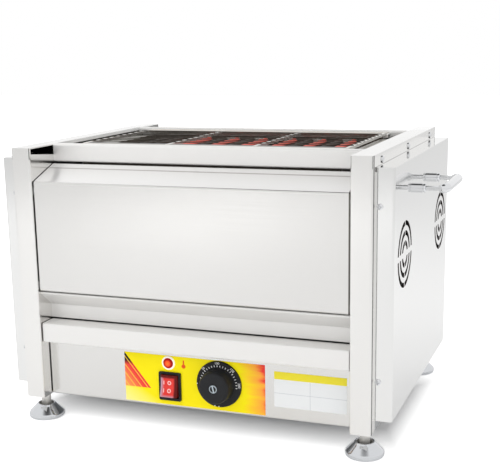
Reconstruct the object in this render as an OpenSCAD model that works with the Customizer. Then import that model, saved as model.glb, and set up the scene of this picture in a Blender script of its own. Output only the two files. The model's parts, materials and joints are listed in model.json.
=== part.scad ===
// Electric fish roaster: a stainless counter-top box with a wire grate over U-shaped heating
// tubes, a drip tray drawer, a recessed control panel, two fans behind each side cover, a bow
// handle on each side and four levelling feet.
//
// Shapes are drawn in cabinet coordinates: x across from the middle, y back from the front of
// the posts, z up from the bottom of the posts. in_place() moves them to the object's own
// frame, whose origin is on the floor under the middle of the posts.

/* [Frame] */
// Width over the outer faces of the posts
body_w = 382; // [370:1:400]
// Depth over the front and rear posts
body_d = 316; // [306:1:330]
// Height of the frame without its feet
frame_h = 270; // [264:1:284]
// Width of a post's front face, and of the side rails
post_w = 21.5; // [20:0.5:24]
// Depth of a post's outer flange
post_lip = 17; // [14:0.5:20]
// Thickness of the sheet metal
sheet = 1.2; // [0.8:0.1:1.5]
// Outside radius of a fold
fold_r = 2; // [1.6:0.1:2.6]
// Gap around a cover that sits between the posts
seam = 1; // [0.8:0.1:1.3]

/* [Top rails] */
// How far the front and rear top rails stand back from the posts
rail_inset = 48; // [46:0.5:52]
// Height of the front and rear top rails
rail_h = 19; // [18:0.5:21]
// Width of the flat top of the front and rear rails
rail_top = 12; // [10:0.5:14]
// Width of the ledge that the grate rests on
ledge_w = 14; // [12:0.5:16]
// Depth of the ledge below the rail's top
ledge_drop = 2.5; // [1.9:0.1:2.6]
// Height of the side rails' skirts
skirt_h = 20; // [18:0.5:22]

/* [Grate] */
// Width of the grate
grate_w = 297; // [288:1:300]
// Width of the flat strip along the front and rear of the grate
grate_strip = 26; // [22:1:34]
// Thickness of the strips
strip_t = 1; // [0.8:0.1:1.4]
// Gap round the grate in its seat
grate_gap = 0.8; // [0.6:0.1:1.2]
// Number of flat bars under the wires, let into the strips at their ends
bar_count = 4; // [3:1:5]
// Width of a flat bar
bar_w = 4; // [3:0.5:6]
// Thickness of a flat bar
bar_t = 3; // [2:0.5:4]
// Diameter of a grate wire
wire_d = 1; // [0.8:0.1:1.4]
// Number of grate wires
wire_count = 9; // [6:1:10]

/* [Heating] */
// Number of U-shaped heating tubes
element_count = 7; // [5:1:7]
// Distance from one heating tube to the next
element_pitch = 35.5; // [30:0.5:36]
// Distance between the two legs of one tube
element_gap = 16; // [13:0.5:18]
// Diameter of a heating tube
element_d = 5.5; // [5:0.5:6.5]
// Depth of the tubes' axes below the top of the frame
element_drop = 10.8; // [10:0.1:12.5]
// Inside width of the heating chamber
chamber_w = 286; // [282:1:290]
// Distance of the chamber's front and rear walls from the posts' front and rear
chamber_inset = 66; // [64:0.5:68]
// Depth of the reflector below the top of the frame
reflector_drop = 34; // [32:1:45]

/* [Front] */
// How far the large front cover stands back from the posts
cover_inset = 3.5; // [3:0.5:6]
// Height lost over the sloping top of the front cover
slope_h = 15.1; // [12:0.1:18]
// Height of the control panel
panel_h = 60.4; // [58:0.2:66]
// How far the control panel stands back from the posts
panel_inset = 17; // [16:0.5:20]
// Height of the drip tray's front
tray_h = 21.2; // [20:0.2:24]
// Depth of the recess between the front cover and the tray
recess_d = 26; // [24:0.5:30]
// Height of the recess's upright back
recess_h = 14.9; // [12:0.1:18]
// Height of the undercut above the recess
undercut_h = 17.7; // [15:0.1:20]
// Gap above and below the drip tray
tray_gap = 1.4; // [1:0.1:2]
// Gap between the front cover and the rail above it
cover_gap = 0.8; // [0.6:0.1:1.4]

/* [Drip tray] */
// Gap between the tray pan and the posts on each side
pan_gap = 9.5; // [7.5:0.5:14.5]
// Depth of the tray pan from front to back
pan_d = 270; // [250:1:276]
// Height of the pan's side walls
pan_h = 18; // [14:0.5:18]

/* [Controls] */
// Width of the control label
label_w = 157.2; // [154:0.2:160]
// Height of the control label
label_h = 53.4; // [52:0.1:55]
// Thickness of the control label
label_t = 0.25; // [0.2:0.05:0.4]
// Height of the control label's lower edge
label_z = 2.5; // [1.5:0.1:3]
// Distance of the lamp and the switch from the middle
switch_x = -26.5; // [-34:0.5:-24]
// Height of the switch's middle
switch_z = 23; // [20:0.5:24]
// Width of the switch's rim
switch_w = 24.8; // [24:0.1:26]
// Height of the switch's rim
switch_h = 31; // [30:0.1:32]
// Angle between the two positions of the rocker
rocker_swing = 18; // [14:1:20]
// Height of the lamp's middle
lamp_z = 48.3; // [47:0.1:48.6]
// Outside diameter of the lamp's rim
lamp_d = 15; // [13:0.5:15.5]
// Distance of the knob from the middle
knob_x = 28.6; // [26:0.1:36]
// Height of the knob's middle
knob_z = 31; // [28:0.1:33]
// Diameter of the knob's dial
dial_d = 49.5; // [46:0.5:51]
// Diameter of the knob's grip
grip_d = 32.5; // [28:0.5:36]
// Length of the knob's grip in front of the dial
grip_l = 15.5; // [12:0.5:17]
// Diameter of the thermostat's shaft
shaft_d = 6; // [5:0.5:7]

/* [Side covers and fans] */
// How far a side cover stands out from the posts
cover_out = 18; // [17.5:0.1:20]
// How far a side cover stops short of the posts' front and rear
cover_end = 11; // [9:0.5:13]
// Height of a side cover's lower edge
cover_low = 12.5; // [10:0.5:16]
// Distance of a side cover's top below the frame's top
cover_drop = 11.5; // [10.5:0.5:14]
// Radius of a vent
vent_r = 33; // [30:0.5:34]
// Distance of a fan's middle from the posts' front or rear
fan_inset = 60; // [58:0.5:66]
// Height of the fans' middles
fan_z = 168.5; // [140:0.5:180]
// Side of a square fan frame
fan_side = 80; // [78:0.5:82]
// Thickness of a fan frame
fan_t = 15; // [13:0.5:15]

/* [Handles] */
// Distance between a handle's two legs
handle_span = 82; // [70:1:100]
// Height of the handles
handle_z = 225.5; // [220:0.5:235]
// Distance of the grip's axis from the side cover
handle_out = 29; // [26:0.5:40]
// Diameter of the handle's grip
handle_d = 10; // [8:0.5:12]
// Diameter of the handle's legs
leg_d = 5; // [4.5:0.5:6]

/* [Feet] */
// Height of the feet under the posts
foot_h = 28; // [26:0.5:32]
// Distance of the feet from the posts' front and rear
foot_inset = 21; // [19:0.5:24]
// Diameter of a foot's rim
foot_d = 39; // [34:0.5:42]
// Outside diameter of the sleeve above a foot
sleeve_d = 10.4; // [10:0.1:12]
// Diameter of a foot's stem
stem_d = 8; // [6.5:0.5:8]

/* [Hidden] */

$fn = 48;
steel = "gainsboro";
polished = "silver";

// Clearances
play = 0.05;        // radial clearance of a turning or sliding fit
rest_gap = 0.3;     // gap between a moving piece and its seat
past = 1;           // how far a cutter runs past a face
lap = 0.1;          // how far one shape of a piece runs into the next

// Places across the cabinet
post_x = body_w / 2;
bay_x = post_x - post_w;
foot_x = post_x - post_w / 2;
cover_x = post_x + cover_out;

// Heights
rail_z = frame_h - rail_h;
ledge_z = frame_h - ledge_drop;
tray_low = panel_h + sheet + rest_gap;
tray_top = tray_low + tray_h;
recess_low = tray_top + tray_gap;
recess_top = recess_low + recess_h;
undercut_top = recess_top + undercut_h;
cover_bottom = undercut_top + tray_gap;
cover_top = rail_z - cover_gap;
bend_z = cover_top - slope_h;
element_z = frame_h - element_drop;
pan_z = tray_low + sheet;

// Folded sheet: a path of corner points, rounded at its folds and given its thickness on the
// right-hand side of the direction of travel.
function unit(v) = v / norm(v);
function right_of(v) = [v[1], -v[0]];
function turn_sign(a, b) = a[0] * b[1] - a[1] * b[0] >= 0 ? 1 : -1;
function fold_arc(a, b, c, r) =
    let (
        u = unit(a - b),
        w = unit(c - b),
        half = acos(u * w) / 2,
        reach = min(r / tan(half), 0.45 * norm(a - b), 0.45 * norm(c - b)),
        radius = reach * tan(half),
        centre = b + unit(u + w) * radius / sin(half),
        from = b + u * reach - centre,
        to = b + w * reach - centre,
        start = atan2(from[1], from[0]),
        sweep = turn_sign(from, to) * (180 - 2 * half),
        steps = 4
    )
    [for (k = [0:steps]) let (a = start + sweep * k / steps) centre + radius * [cos(a), sin(a)]];
function rounded_path(p, r) = concat(
    [p[0]],
    [for (i = [1:len(p) - 2]) each fold_arc(p[i - 1], p[i], p[i + 1], r)],
    [p[len(p) - 1]]
);
function inner_point(p, i, t) =
    let (
        last = len(p) - 1,
        before = i == 0 ? unit(p[1] - p[0]) : unit(p[i] - p[i - 1]),
        after = i == last ? before : unit(p[i + 1] - p[i]),
        mitre = unit(right_of(before) + right_of(after))
    )
    p[i] + mitre * t / (mitre * right_of(before));
function folded(p, r = fold_r, t = sheet) =
    let (q = rounded_path(p, r))
    concat(q, [for (i = [len(q) - 1:-1:0]) inner_point(q, i, t)]);

module in_place() translate([0, -body_d / 2, foot_h]) children();
module at_rear() translate([0, body_d, 0]) mirror([0, 1, 0]) children();
module at_left() mirror([1, 0, 0]) children();
module both_sides() {
    children();
    at_left() children();
}
module four_corners() {
    both_sides() children();
    at_rear() both_sides() children();
}
// Extrusions along x of a (y, z) outline, along y of an (x, z) outline, and upright
module along_x(x0, x1) translate([x0, 0, 0]) rotate([90, 0, 90]) linear_extrude(x1 - x0) children();
module along_y(y0, y1) translate([0, y1, 0]) rotate([90, 0, 0]) linear_extrude(y1 - y0) children();
module upright(z0, z1) translate([0, 0, z0]) linear_extrude(z1 - z0) children();
module block(x, y, z) translate([x[0], y[0], z[0]]) cube([x[1] - x[0], y[1] - y[0], z[1] - z[0]]);
module rod_x(x0, x1, y, z, d) translate([x0, y, z]) rotate([0, 90, 0]) cylinder(d = d, h = x1 - x0);
module rod_y(y0, y1, x, z, d) translate([x, y0, z]) rotate([-90, 0, 0]) cylinder(d = d, h = y1 - y0);
module rod_z(z0, z1, x, y, d) translate([x, y, z0]) cylinder(d = d, h = z1 - z0);
module cone_y(y0, y1, x, z, d0, d1) {
    translate([x, y0, z]) rotate([-90, 0, 0]) cylinder(d1 = d0, d2 = d1, h = y1 - y0);
}

// ---- Frame ----
foot_plate_t = 3;
foot_plate_d = foot_inset + 18;
notch_from = 3;            // opening in the inner flange, under the side rail
notch_drop = [6.6, 11.3];
tab_h = 16;
tab_reach = 9;
screw_z = [52, 222];
module post() {
    color(steel) difference() {
        union() {
            upright(0, frame_h) polygon(folded([
                [post_x, post_lip], [post_x, 0], [bay_x, 0], [bay_x, rail_inset]
            ]));
            // bottom plate that carries the foot's sleeve
            block([bay_x + sheet / 2, post_x - sheet], [sheet / 2, foot_plate_d], [0, foot_plate_t]);
            block([foot_x, post_x - sheet / 2], [sheet / 2, post_lip - sheet], [0, foot_plate_t]);
            // tabs that the side cover is screwed to
            for (z = screw_z)
                block([post_x - sheet / 2, post_x + tab_reach], [cover_end + sheet, cover_end + 2 * sheet],
                    [z - tab_h / 2, z + tab_h / 2]);
        }
        rod_z(-past, foot_plate_t + past, foot_x, foot_inset, sleeve_d);
        // the side rail's top sits in the post's head
        block([bay_x - past, post_x + past], [sheet, rail_inset + past], [frame_h - sheet, frame_h + past]);
        along_x(bay_x - past, bay_x + sheet + past) polygon([
            [notch_from, frame_h - notch_drop[0]], [rail_inset + past, frame_h - notch_drop[1]],
            [rail_inset + past, frame_h - sheet / 2], [notch_from, frame_h - sheet / 2]
        ]);
        cover_screw_holes();
    }
}
module post_front_left() in_place() at_left() post();
module post_front_right() in_place() post();
module post_rear_left() in_place() at_rear() at_left() post();
module post_rear_right() in_place() at_rear() post();

rail_screw_z = frame_h - 6.7;
rail_screw_inset = 36;
rail_screw_y = [rail_screw_inset, body_d / 2, body_d - rail_screw_inset];
rail_screw_d = 4;
module side_rail() {
    color(polished) difference() {
        union() {
            block([bay_x, post_x], [sheet, body_d - sheet], [frame_h - sheet, frame_h]);
            block([post_x - sheet, post_x], [post_lip, body_d - post_lip], [frame_h - skirt_h, frame_h]);
            block([bay_x, bay_x + sheet], [rail_inset, body_d - rail_inset], [frame_h - skirt_h, frame_h]);
        }
        for (y = rail_screw_y)
            rod_x(post_x - sheet - past, post_x + past, y, rail_screw_z, rail_screw_d);
    }
}
module side_rail_left() in_place() at_left() side_rail();
module side_rail_right() in_place() side_rail();

ledge_lip = 4.5;
rail_hem = 8;
rail_leg = 8;
ledge_past_grate = 2;
module cross_rail() {
    step_y = rail_inset + rail_top;
    leg_z = frame_h - rail_leg;
    ledge_half = grate_w / 2 + ledge_past_grate;
    color(steel) {
        along_x(-bay_x, bay_x) polygon(folded([
            [rail_inset + rail_hem, rail_z], [rail_inset, rail_z], [rail_inset, frame_h],
            [step_y, frame_h], [step_y, leg_z]
        ]));
        // ledge for the grate, welded against the rail's inner leg
        along_x(-ledge_half, ledge_half) polygon(folded([
            [step_y, leg_z], [step_y, ledge_z], [step_y + ledge_w, ledge_z],
            [step_y + ledge_w, ledge_z - ledge_lip]
        ]));
    }
}
module front_rail() in_place() cross_rail();
module rear_rail() in_place() at_rear() cross_rail();

base_side_h = 20;
module base_side() {
    color(steel) difference() {
        along_y(post_lip, body_d - post_lip) polygon([
            [bay_x, 0], [post_x, 0], [post_x, base_side_h], [post_x - sheet, base_side_h],
            [post_x - sheet, sheet], [bay_x + sheet, sheet], [bay_x + sheet, base_side_h],
            [bay_x, base_side_h]
        ]);
        // clear of the posts' plates and flanges at both ends
        for (y = [[0, foot_plate_d], [body_d - foot_plate_d, body_d]])
            block([bay_x - past, post_x - sheet], y, [-past, base_side_h + past]);
        for (y = [[0, rail_inset], [body_d - rail_inset, body_d]])
            block([bay_x - past, bay_x + sheet + past], y, [-past, base_side_h + past]);
    }
}
module base_side_left() in_place() at_left() base_side();
module base_side_right() in_place() base_side();

between_panels = [panel_inset + sheet, body_d - panel_inset - sheet];
between_folds = [panel_inset + fold_r, body_d - panel_inset - fold_r];
slot_w = 6;
slot_l = 60;
slot_pitch = 22;
module base_pan() {
    in_place() color(steel) difference() {
        block([-bay_x, bay_x], between_folds, [sheet, 2 * sheet]);
        // air slots
        for (i = [-3:3])
            block([i * slot_pitch - slot_w / 2, i * slot_pitch + slot_w / 2],
                [body_d / 2 - slot_l / 2, body_d / 2 + slot_l / 2], [0, 3 * sheet]);
    }
}
module compartment_shelf() {
    in_place() color(steel) block([-bay_x, bay_x], between_panels, [panel_h, panel_h + sheet]);
}

// ---- Front and rear sheets ----
hem = 6;
return_d = 16;
cover_half = bay_x - seam;
module sloped_cover(z0, half) {
    along_x(-half, half) polygon(folded([
        [cover_inset + hem, z0], [cover_inset, z0], [cover_inset, bend_z],
        [rail_inset - seam, cover_top], [rail_inset - seam, cover_top - hem]
    ]));
}
module front_cover() {
    in_place() color(polished) {
        sloped_cover(cover_bottom, cover_half);
        both_sides() block([cover_half - sheet, cover_half],
            [cover_inset + sheet / 2, cover_inset + return_d], [cover_bottom + sheet / 2, bend_z]);
    }
}
clip_h = 7;
clip_inset = 2;
clip_z = [cover_bottom + clip_inset, bend_z - 2 * clip_h];
module front_cover_clips() {
    in_place() color(steel) both_sides() for (z = clip_z)
        block([cover_half, bay_x], [cover_inset + clip_inset, cover_inset + return_d - clip_inset],
            [z, z + clip_h]);
}
crosspiece_shelf = 34;
module lower_crosspiece() {
    in_place() color(polished) along_x(-bay_x, bay_x) polygon(folded([
        [recess_d, recess_low], [recess_d, recess_top], [cover_inset, undercut_top],
        [cover_inset + crosspiece_shelf, undercut_top]
    ], sheet + 0.1));
}
louvre_count = 5;
louvre_w = 60;
louvre_h = 4;
louvre_pitch = 12;
louvre_x = [-90, 0, 90];
louvre_drop = 40;
louvre_z = bend_z - louvre_drop;
module rear_cover() {
    in_place() at_rear() color(polished) difference() {
        sloped_cover(tray_low, bay_x);
        for (x = louvre_x, i = [0:louvre_count - 1]) translate([x, 0, louvre_z - i * louvre_pitch])
            block([-louvre_w / 2, louvre_w / 2], [cover_inset - past, cover_inset + sheet + past],
                [0, louvre_h]);
    }
}
panel_return = 16;
module inset_panel(half) {
    along_x(-half, half) polygon(folded([
        [panel_inset + panel_return, 0], [panel_inset, 0], [panel_inset, panel_h],
        [panel_inset + panel_return, panel_h]
    ]));
}
gland_x = -120;
gland_z = 30;
gland_hole_d = 16;
module rear_lower_panel() {
    in_place() at_rear() color(steel) difference() {
        inset_panel(bay_x);
        rod_y(panel_inset - past, panel_inset + sheet + past, gland_x, gland_z, gland_hole_d);
    }
}

window_margin = 8;
window_w = 36;
window_h = 44;
module inner_side() {
    color(steel) difference() {
        block([bay_x, bay_x + sheet], [rail_inset, body_d - rail_inset], [base_side_h, frame_h - skirt_h]);
        for (y = [rail_inset + window_margin, body_d - rail_inset - window_margin - window_w])
            block([bay_x - past, bay_x + sheet + past], [y, y + window_w],
                [fan_z - window_h / 2, fan_z + window_h / 2]);
    }
}
module inner_side_left() in_place() at_left() inner_side();
module inner_side_right() in_place() inner_side();

// ---- Side covers ----
ring_pitch = 9.8;
ring_slot = 4.8;
bridge_across = 5.5;
bridge_upright = 2;
vent_y = [fan_inset, body_d - fan_inset];
module vent_slots() {
    for (i = [0:2]) difference() {
        circle(r = vent_r - i * ring_pitch);
        circle(r = vent_r - i * ring_pitch - ring_slot);
        square([2 * vent_r + 2, bridge_across], center = true);
        square([bridge_upright, 2 * vent_r + 2], center = true);
    }
}
module side_cover() {
    top_z = frame_h - cover_drop;
    color(polished) difference() {
        union() {
            upright(cover_low, top_z) polygon(folded([
                [post_x, body_d - cover_end], [cover_x, body_d - cover_end],
                [cover_x, cover_end], [post_x, cover_end]
            ]));
            for (z = [cover_low, top_z - sheet])
                block([post_x, cover_x - sheet / 2],
                    [cover_end + sheet / 2, body_d - cover_end - sheet / 2], [z, z + sheet]);
        }
        for (y = vent_y) translate([cover_x, y, fan_z]) rotate([90, 0, 90])
            linear_extrude(4 * sheet, center = true) vent_slots();
        for (y = handle_y) rod_x(cover_x - 2 * sheet, cover_x + past, y, handle_z, leg_d);
        cover_screw_holes();
        at_rear() cover_screw_holes();
    }
}
module side_cover_left() in_place() at_left() side_cover();
module side_cover_right() in_place() side_cover();

screw_x = post_x + 4;
screw_d = 3;
screw_head_d = 6;
screw_head_t = 1.6;
screw_l = 6;
head_ball = 0.9;        // radius of the ball that rounds a head, in head diameters
module cover_screw_holes() {
    for (z = screw_z) rod_y(cover_end - past, cover_end + 3 * sheet, screw_x, z, screw_d);
}
module domed_head(d, t) {
    intersection() {
        cylinder(d = d, h = t);
        translate([0, 0, t - head_ball * d]) sphere(r = head_ball * d);
    }
}
module cover_screws() {
    in_place() color(polished) four_corners() for (z = screw_z) {
        rod_y(cover_end - lap, cover_end + screw_l, screw_x, z, screw_d);
        translate([screw_x, cover_end, z]) rotate([90, 0, 0]) domed_head(screw_head_d, screw_head_t);
    }
}
rail_head_d = 7.4;
module rail_screws() {
    in_place() color(polished) both_sides() for (y = rail_screw_y) {
        rod_x(post_x - screw_l, post_x + lap, y, rail_screw_z, rail_screw_d);
        translate([post_x, y, rail_screw_z]) rotate([0, 90, 0]) domed_head(rail_head_d, screw_head_t);
    }
}

// ---- Handles ----
handle_y = [body_d / 2 - handle_span / 2, body_d / 2 + handle_span / 2];
boss_l = 9;
boss_d = 10;
boss_taper = 0.8;
nut_d = 9;
nut_l = 4;
module handle() {
    grip_x = cover_x + handle_out;
    color(polished) {
        rod_y(handle_y[0], handle_y[1], grip_x, handle_z, handle_d);
        for (y = handle_y) {
            translate([grip_x, y, handle_z]) sphere(d = handle_d);
            rod_x(cover_x - sheet, grip_x, y, handle_z, leg_d);
            // nut inside the cover
            rod_x(cover_x - sheet - nut_l, cover_x - sheet, y, handle_z, nut_d);
        }
    }
}
module handle_left() in_place() at_left() handle();
module handle_right() in_place() handle();
module handle_bosses() {
    in_place() color(steel) both_sides() for (y = handle_y) difference() {
        translate([cover_x, y, handle_z]) rotate([0, 90, 0])
            cylinder(d1 = boss_d, d2 = boss_d - boss_taper, h = boss_l);
        rod_x(cover_x - past, cover_x + boss_l + past, y, handle_z, leg_d);
    }
}

// ---- Feet ----
sleeve_low = -17.5;
sleeve_top = 25;
bell_h = 15;
bell_rim = 5;
bell_top_d = 20;
socket_d = bell_top_d - 3;
socket_floor = 6;
stem_top = 18;
module leg_sleeves() {
    in_place() color(polished) four_corners() difference() {
        rod_z(sleeve_low, sleeve_top, foot_x, foot_inset, sleeve_d);
        rod_z(sleeve_low - past, sleeve_top + past, foot_x, foot_inset, stem_d + 2 * play);
    }
}
module foot() {
    color(polished) translate([foot_x, foot_inset, -foot_h]) rotate_extrude() polygon([
        [0, 0], [foot_d / 2 - 1, 0], [foot_d / 2, 1],
        [foot_d / 2, bell_rim - 0.6], [foot_d / 2 - 0.6, bell_rim],
        [bell_top_d / 2 + 1, bell_h - 1.6], [bell_top_d / 2, bell_h], [socket_d / 2, bell_h],
        [socket_d / 2, socket_floor], [stem_d / 2, socket_floor], [stem_d / 2, foot_h + stem_top - 1],
        [stem_d / 2 - 1, foot_h + stem_top], [0, foot_h + stem_top]
    ]);
}
module foot_front_left() in_place() at_left() foot();
module foot_front_right() in_place() foot();
module foot_rear_left() in_place() at_rear() at_left() foot();
module foot_rear_right() in_place() at_rear() foot();

// ---- Heating chamber ----
chamber_x = chamber_w / 2;
liner_skirt = 25;
liner_low = undercut_top - liner_skirt;
flange_end = 12;
flange_drop = 8;
flange_z = frame_h - flange_drop;
tube_x = [for (i = [0:element_count - 1]) (i - (element_count - 1) / 2) * element_pitch];
bend_room = 20;
tube_end = body_d - chamber_inset - bend_room;
module chamber_liner() {
    wall_y = [chamber_inset, body_d - chamber_inset];
    wall_top = ledge_z - sheet;
    in_place() color(polished) difference() {
        union() {
            for (x = [-chamber_x - sheet, chamber_x])
                block([x, x + sheet], wall_y, [liner_low, flange_z]);
            for (y = [wall_y[0], wall_y[1] - sheet])
                block([-chamber_x - sheet, chamber_x + sheet], [y, y + sheet], [liner_low, wall_top]);
            both_sides() block([chamber_x, bay_x], [wall_y[0] + flange_end, wall_y[1] - flange_end],
                [flange_z - sheet, flange_z]);
        }
        for (x = tube_x, side = [-1, 1])
            rod_y(wall_y[0] - past, wall_y[0] + sheet + past, x + side * element_gap / 2, element_z,
                element_d);
    }
}
reflector_z = frame_h - reflector_drop;
reflector_lip = 8;
reflector_slot = 5;
reflector_margin = 20;
module reflector() {
    in_place() color(polished) difference() {
        along_x(-chamber_x, chamber_x) polygon(folded([
            [chamber_inset + sheet, reflector_z + reflector_lip], [chamber_inset + sheet, reflector_z],
            [body_d - chamber_inset - sheet, reflector_z],
            [body_d - chamber_inset - sheet, reflector_z + reflector_lip]
        ], fold_r, -sheet));
        // slots that let fat through to the tray
        for (i = [0:element_count - 2]) translate([tube_x[i] + element_pitch / 2, 0, reflector_z])
            block([-reflector_slot / 2, reflector_slot / 2],
                [chamber_inset + reflector_margin, body_d - chamber_inset - reflector_margin],
                [-past, past + sheet]);
    }
}
terminal_l = 4;
tube_start = chamber_inset - 9;
module hairpin() {
    for (side = [-1, 1]) {
        rod_y(tube_start, tube_end, side * element_gap / 2, element_z, element_d);
        rod_y(tube_start - terminal_l, tube_start, side * element_gap / 2, element_z, element_d / 2);
    }
    translate([0, tube_end, element_z]) rotate_extrude(angle = 180)
        translate([element_gap / 2, 0]) circle(d = element_d);
}
module heating_tubes() {
    in_place() color("firebrick") for (x = tube_x) translate([x, 0, 0]) hairpin();
}
insulator_d = 9;
insulator_l = 4.5;
module tube_insulators() {
    in_place() color("white") for (x = tube_x, side = [-1, 1]) difference() {
        rod_y(chamber_inset - insulator_l, chamber_inset, x + side * element_gap / 2, element_z, insulator_d);
        rod_y(chamber_inset - insulator_l - past, chamber_inset + past, x + side * element_gap / 2,
            element_z, element_d);
    }
}
support_h = 8;
support_t = 2;
support_spread = 45;
support_y = [body_d / 2 - support_spread, body_d / 2 + support_spread];
module tube_supports() {
    top = element_z - element_d / 2;
    in_place() color(steel) for (y = support_y)
        block([-chamber_x, chamber_x], [y, y + support_t], [top - support_h, top]);
}

// ---- Grate ----
// height of the bars above the strips that they are let into
bar_proud = 0.4;
// depth to which the wires are welded into the bars
weld = 0.2;
module grate() {
    front = rail_inset + rail_top + grate_gap;
    strip_end = front + grate_strip;
    half = grate_w / 2;
    bar_from = rail_inset + rail_top + ledge_w + 2;
    bar_top = ledge_z + strip_t + bar_proud;
    wire_pitch = (body_d - 2 * strip_end) / wire_count;
    in_place() color("dimgray") {
        for (y = [front, body_d - strip_end])
            block([-half, half], [y, y + grate_strip], [ledge_z, ledge_z + strip_t]);
        for (i = [0:bar_count - 1])
            translate([-half + bar_w / 2 + i * (grate_w - bar_w) / (bar_count - 1), 0, 0])
                block([-bar_w / 2, bar_w / 2], [bar_from, body_d - bar_from], [bar_top - bar_t, bar_top]);
        for (i = [0:wire_count - 1])
            rod_x(-half, half, strip_end + (i + 0.5) * wire_pitch, bar_top + wire_d / 2 - weld, wire_d);
    }
}

// ---- Fans ----
fan_x0 = cover_x - sheet - fan_t;
fan_bore = fan_side - 4;
fan_hub_d = 32;
fan_pin_d = 3;
fan_back = 2;
fan_front = 1.5;
spoke_w = 4;
spoke_angle = [45, 165, 285];
blade_count = 7;
blade_w = 24;
blade_t = 1.6;
blade_turn = 38;
blade_tip_gap = 1.5;
module fan_frame() {
    color("black") {
        difference() {
            translate([-fan_side / 2, -fan_side / 2, 0]) cube([fan_side, fan_side, fan_t]);
            translate([0, 0, -past]) cylinder(d = fan_bore, h = fan_t + 2 * past);
        }
        cylinder(d = fan_hub_d, h = fan_back);
        cylinder(d = fan_pin_d, h = fan_t - fan_front - rest_gap);
        for (a = spoke_angle) rotate([0, 0, a])
            translate([0, -spoke_w / 2, 0]) cube([fan_bore / 2 + past, spoke_w, fan_back]);
    }
}
module fan_rotor() {
    low = fan_back + rest_gap;
    high = fan_t - fan_front;
    color("dimgray") difference() {
        union() {
            translate([0, 0, low]) cylinder(d = fan_hub_d, h = high - low);
            intersection() {
                translate([0, 0, low]) cylinder(d = fan_bore - 2 * blade_tip_gap, h = high - low);
                for (i = [0:blade_count - 1]) rotate([0, 0, i * 360 / blade_count])
                    translate([fan_hub_d / 2 - past, 0, (low + high) / 2]) rotate([blade_turn, 0, 0])
                        translate([0, -blade_w / 2, -blade_t / 2]) cube([fan_bore / 2, blade_w, blade_t]);
            }
        }
        translate([0, 0, -past]) cylinder(d = fan_pin_d + 2 * play, h = fan_t + past);
    }
}
module fan_seat() translate([fan_x0, fan_inset, fan_z]) rotate([90, 0, 90]) children();
module fan_frame_left_front() in_place() at_left() fan_seat() fan_frame();
module fan_frame_left_rear() in_place() at_rear() at_left() fan_seat() fan_frame();
module fan_frame_right_front() in_place() fan_seat() fan_frame();
module fan_frame_right_rear() in_place() at_rear() fan_seat() fan_frame();
module fan_rotor_left_front() in_place() at_left() fan_seat() fan_rotor();
module fan_rotor_left_rear() in_place() at_rear() at_left() fan_seat() fan_rotor();
module fan_rotor_right_front() in_place() fan_seat() fan_rotor();
module fan_rotor_right_rear() in_place() at_rear() fan_seat() fan_rotor();

// ---- Controls ----
panel_face = panel_inset;
label_face = panel_inset - label_t;
lamp_body_d = 9.8;
lamp_x = switch_x - 1.2;
switch_body_w = switch_w - 3;
switch_body_h = switch_h - 2.6;
shaft_hole_d = shaft_d + 4;
module control_cutouts() {
    from = panel_face - past;
    to = panel_face + sheet + past;
    rod_y(from, to, lamp_x, lamp_z, lamp_body_d);
    rod_y(from, to, knob_x, knob_z, shaft_hole_d);
    block([switch_x - switch_body_w / 2, switch_x + switch_body_w / 2], [from, to],
        [switch_z - switch_body_h / 2, switch_z + switch_body_h / 2]);
}
module control_panel() {
    in_place() color(steel) difference() {
        inset_panel(cover_half);
        control_cutouts();
    }
}
label_x = -0.3;
module control_label() {
    in_place() color("gold") difference() {
        block([label_x - label_w / 2, label_x + label_w / 2], [label_face, panel_face],
            [label_z, label_z + label_h]);
        control_cutouts();
    }
}
lens_d = 11.2;
lens_t = 3.4;
lamp_rim_t = 1.9;
lens_seat = 0.8;
lamp_body_l = 24;
module lamp_body() {
    in_place() color("white") difference() {
        union() {
            rod_y(label_face - lamp_rim_t, label_face, lamp_x, lamp_z, lamp_d);
            rod_y(label_face - lap, panel_face + lamp_body_l, lamp_x, lamp_z, lamp_body_d);
        }
        rod_y(label_face - lamp_rim_t - past, label_face - lens_seat, lamp_x, lamp_z, lens_d);
    }
}
module lamp_lens() {
    in_place() color("red") translate([lamp_x, label_face - lens_seat, lamp_z]) rotate([90, 0, 0])
        domed_head(lens_d, lens_t);
}

rim_t = 2;
rim_corner = 1.6;
switch_body_d = 20;
rocker_half_h = 11.6;
rocker_w = 19;
rocker_room = 0.3;
well_half_h = 12.8;
well_d = 7;
pivot_y = panel_face + 2.6;
pivot_d = 2.4;
pivot_half = rocker_w / 2 + 1;
module rounded_rect(w, h, r) {
    square([w - 2 * r, h], center = true);
    square([w, h - 2 * r], center = true);
    for (x = [-1, 1], y = [-1, 1]) translate([x * (w / 2 - r), y * (h / 2 - r)]) circle(r = r);
}
module switch_housing() {
    in_place() color("black") translate([switch_x, 0, switch_z]) difference() {
        union() {
            along_y(label_face - rim_t, label_face) rounded_rect(switch_w, switch_h, rim_corner);
            along_y(label_face - lap, panel_face + switch_body_d)
                square([switch_body_w, switch_body_h], center = true);
        }
        along_y(label_face - rim_t - past, panel_face + well_d)
            square([rocker_w + 2 * rocker_room, 2 * well_half_h], center = true);
        rod_x(-pivot_half - rest_gap, pivot_half + rest_gap, pivot_y, 0, pivot_d + 2 * play);
    }
}
module switch_rocker() {
    in_place() color("red") translate([switch_x, pivot_y, switch_z]) {
        rotate([-rocker_swing / 2, 0, 0]) {
            along_x(-rocker_w / 2, rocker_w / 2) polygon([
                [-9, -rocker_half_h], [-8, -5], [-7.4, 0], [-8, 5], [-9, rocker_half_h],
                [-1, rocker_half_h], [1.6, 4], [1.6, -4], [-1, -rocker_half_h]
            ]);
        }
        rod_x(-pivot_half, pivot_half, 0, 0, pivot_d);
    }
}
thermostat_w = 34;
thermostat_h = 38;
thermostat_d = 24;
thermostat_drop = 6;    // how far the body stops short above the shaft
shaft_wall = 6;         // body left behind the shaft's end
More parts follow.
